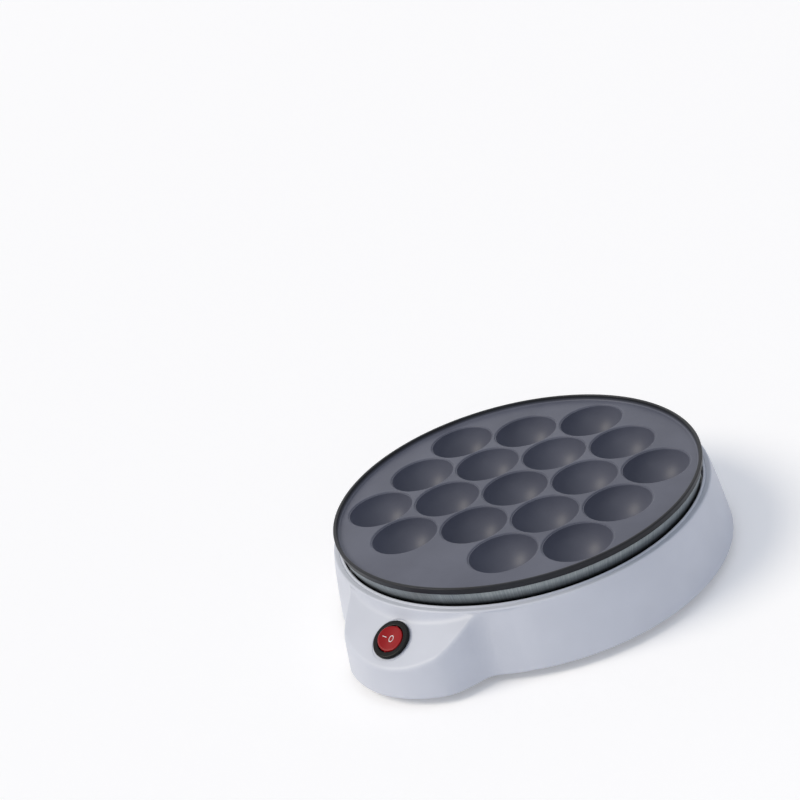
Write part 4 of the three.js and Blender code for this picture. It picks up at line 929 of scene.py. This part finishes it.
def make_mark(name, edges, closed):
    """A thin skin over the rocker's face between two lines of points, which may be closed loops."""
    points = []
    for (x1, y1), (x2, y2) in zip(*edges):
        section = ((x1, y1, PRINT_RISE), (x2, y2, PRINT_RISE), (x2, y2, -PRINT_DEPTH), (x1, y1, -PRINT_DEPTH))
        points += [ROCKER @ Vector((x, y, float(dish_height(x)) + rise)) for x, y, rise in section]
    faces = band_faces(len(points) // 4, 4, 4)
    if not closed:
        faces[-4:] = [(0, 1, 2, 3), tuple(range(len(points) - 4, len(points)))]
    return mesh_object(name, points, faces)


def bar_edges(centre, half_length, half_width):
    lengths = np.linspace(-half_length, half_length, 14)
    return [[(centre + x, side * half_width) for x in lengths] for side in (-1, 1)]


def ring_edges(centre, inner, outer, stretch):
    angles = np.linspace(0, 2 * math.pi, 40, endpoint=False)
    return [[(centre + r * math.cos(a), stretch * r * math.sin(a)) for a in angles] for r in (inner, outer)]


bar = bar_edges(centre=-3.6, half_length=1.2, half_width=0.2)
oval = ring_edges(centre=0.6, inner=1.0, outer=1.3, stretch=1.55)
for mark in (make_mark("on_mark", bar, closed=False), make_mark("off_mark", oval, closed=True)):
    finish_piece(mark, PRINT, "red_rocker", "rocker")

# %% [markdown]
# ## Feet, gland and cover screws
# Four rubber feet plug into the bottom cover, and a rubber gland lines the hole for the cord. Six screws hold
# the cover. The feet and the screws repeat, so one tree sets a turned form on a list of points.

# %% Geometry nodes for repeated small pieces
def points_tree():
    tree = bpy.data.node_groups.new("one form on a rectangle and a pair", "GeometryNodeTree")
    ids = {"form": add_socket(tree, "Form", "NodeSocketGeometry"),
           "width": add_socket(tree, "Rectangle width", "NodeSocketFloat"),
           "depth": add_socket(tree, "Rectangle depth", "NodeSocketFloat"),
           "pair": add_socket(tree, "Pieces in the pair", "NodeSocketInt"),
           "start": add_socket(tree, "Pair start", "NodeSocketVector"),
           "gap": add_socket(tree, "Pair gap", "NodeSocketVector"),
           "axis": add_socket(tree, "Axis", "NodeSocketVector", tuple(AXIS.translation * MM)),
           "finish": add_socket(tree, "Finish", "NodeSocketMaterial")}
    given = add_node(tree, "NodeGroupInput").outputs
    grid = add_node(tree, "GeometryNodeMeshGrid", {"Vertices X": 2, "Vertices Y": 2,
                                                   "Size X": given["Rectangle width"],
                                                   "Size Y": given["Rectangle depth"]})
    pair = add_node(tree, "GeometryNodeMeshLine", {"Count": given["Pieces in the pair"],
                                                   "Start Location": given["Pair start"],
                                                   "Offset": given["Pair gap"]})
    both = add_node(tree, "GeometryNodeJoinGeometry")
    for part in (grid, pair):
        feed(tree, both, {0: part})
    moved = add_node(tree, "GeometryNodeSetPosition", {"Geometry": both, "Offset": given["Axis"]})
    copies = add_node(tree, "GeometryNodeInstanceOnPoints", {"Points": moved, "Instance": given["Form"]})
    close_tree(tree, "Pieces", copies, given["Finish"])
    return tree, ids


small_tree, small_ids = points_tree()
print("nodes in the tree:", len(small_tree.nodes))

# %% Feet and screws
FOOT_REACH, FOOT_ANGLE = 88, math.radians(35)
SCREW_SEAT, SCREW_TIP = 9.6, 9  # the seat's height, and the tip's height above it

foot_profile = [(0, 0.35), (5.2, 0.35), (5.6, 0), (7.1, 0)] + arc(7.1, 0.9, 0.9, -90, 0, 6)[1:]
foot_profile += [(7.7, 5.6), (3.0, 5.6), (3.0, 8.3), (3.8, 8.3), (3.7, 8.8), (2.4, 10.3), (2.2, 10.6)]
feet = turned("feet", foot_profile + [(0, 10.6)], 48)
run_tree(feet, small_tree, small_ids, {"width": 2 * FOOT_REACH * math.cos(FOOT_ANGLE) * MM,
                                       "depth": 2 * FOOT_REACH * math.sin(FOOT_ANGLE) * MM,
                                       "finish": RUBBER})
finish_piece(crease(feet), RUBBER, "foot_rubber", "base", *[f"foot_{i}" for i in range(1, 5)])


def make_cross_screw(name):
    """A screw that points up, with a domed head below its seat and a cross recess in the head."""
    head = [(0, SCREW_SEAT - 2.2)] + arc(0, SCREW_SEAT + 0.55, 2.75, -82, -35, 8)
    head += [(3.15, SCREW_SEAT - 0.9), (3.2, SCREW_SEAT - 0.6), (3.2, SCREW_SEAT)]
    tip = SCREW_SEAT + SCREW_TIP
    screw = turned(name, head + [(1.5, SCREW_SEAT), (1.5, tip - 0.6), (1.0, tip), (0, tip)], 32)
    mouth, floor_share = oblong(1.7, 0.38), 0.45  # the recess's arms narrow to this share at their floor
    for turn in (0, 90):
        arms = Matrix.Rotation(math.radians(turn), 4, "Z")
        ends = [[arms @ Vector((x * share, y * share, SCREW_SEAT - depth)) for x, y in mouth]
                for depth, share in ((2.6, 1.0), (0.9, floor_share))]
        combine(screw, prism("recess", *ends), "DIFFERENCE")
    return screw


cover_screws = make_cross_screw("cover_screws")
side = math.sqrt(2) * COLUMN_CIRCLE * MM
pair_start = (-FRONT_COLUMN_X * MM, -FRONT_COLUMN_REACH * MM, 0.0)
run_tree(cover_screws, small_tree, small_ids,
         {"width": side, "depth": side, "pair": 2, "start": pair_start,
          "gap": (2 * FRONT_COLUMN_X * MM, 0.0, 0.0), "finish": SCREW})
finish_piece(crease(cover_screws), SCREW, "screw_steel", "base", *[f"cover_screw_{i}" for i in range(1, 7)])

# %% Cord gland
def make_gland():
    """A sleeve through the wall, with a collar inside and a rounded flange outside."""
    tail, pad, flange = PAD_Y - 5.6, PAD_Y - PAD_DEPTH, PAD_Y + 2
    profile = [(3.6, tail + 0.4), (4.0, tail), (6.2, tail), (6.6, tail + 0.4), (6.6, pad), (5.4, pad)]
    profile += [(5.4, PAD_Y), (7.8, PAD_Y), (8.0, PAD_Y + 0.2)] + arc(7.2, flange - 0.8, 0.8, 0, 90, 6)
    profile += [(4.6, flange)] + arc(4.6, flange - 1.0, 1.0, 90, 180, 6)
    return crease(turned("gland", profile, 72, REARWARD))


finish_piece(make_gland(), PALE_RUBBER, "gland_rubber", "base", "cord_gland")
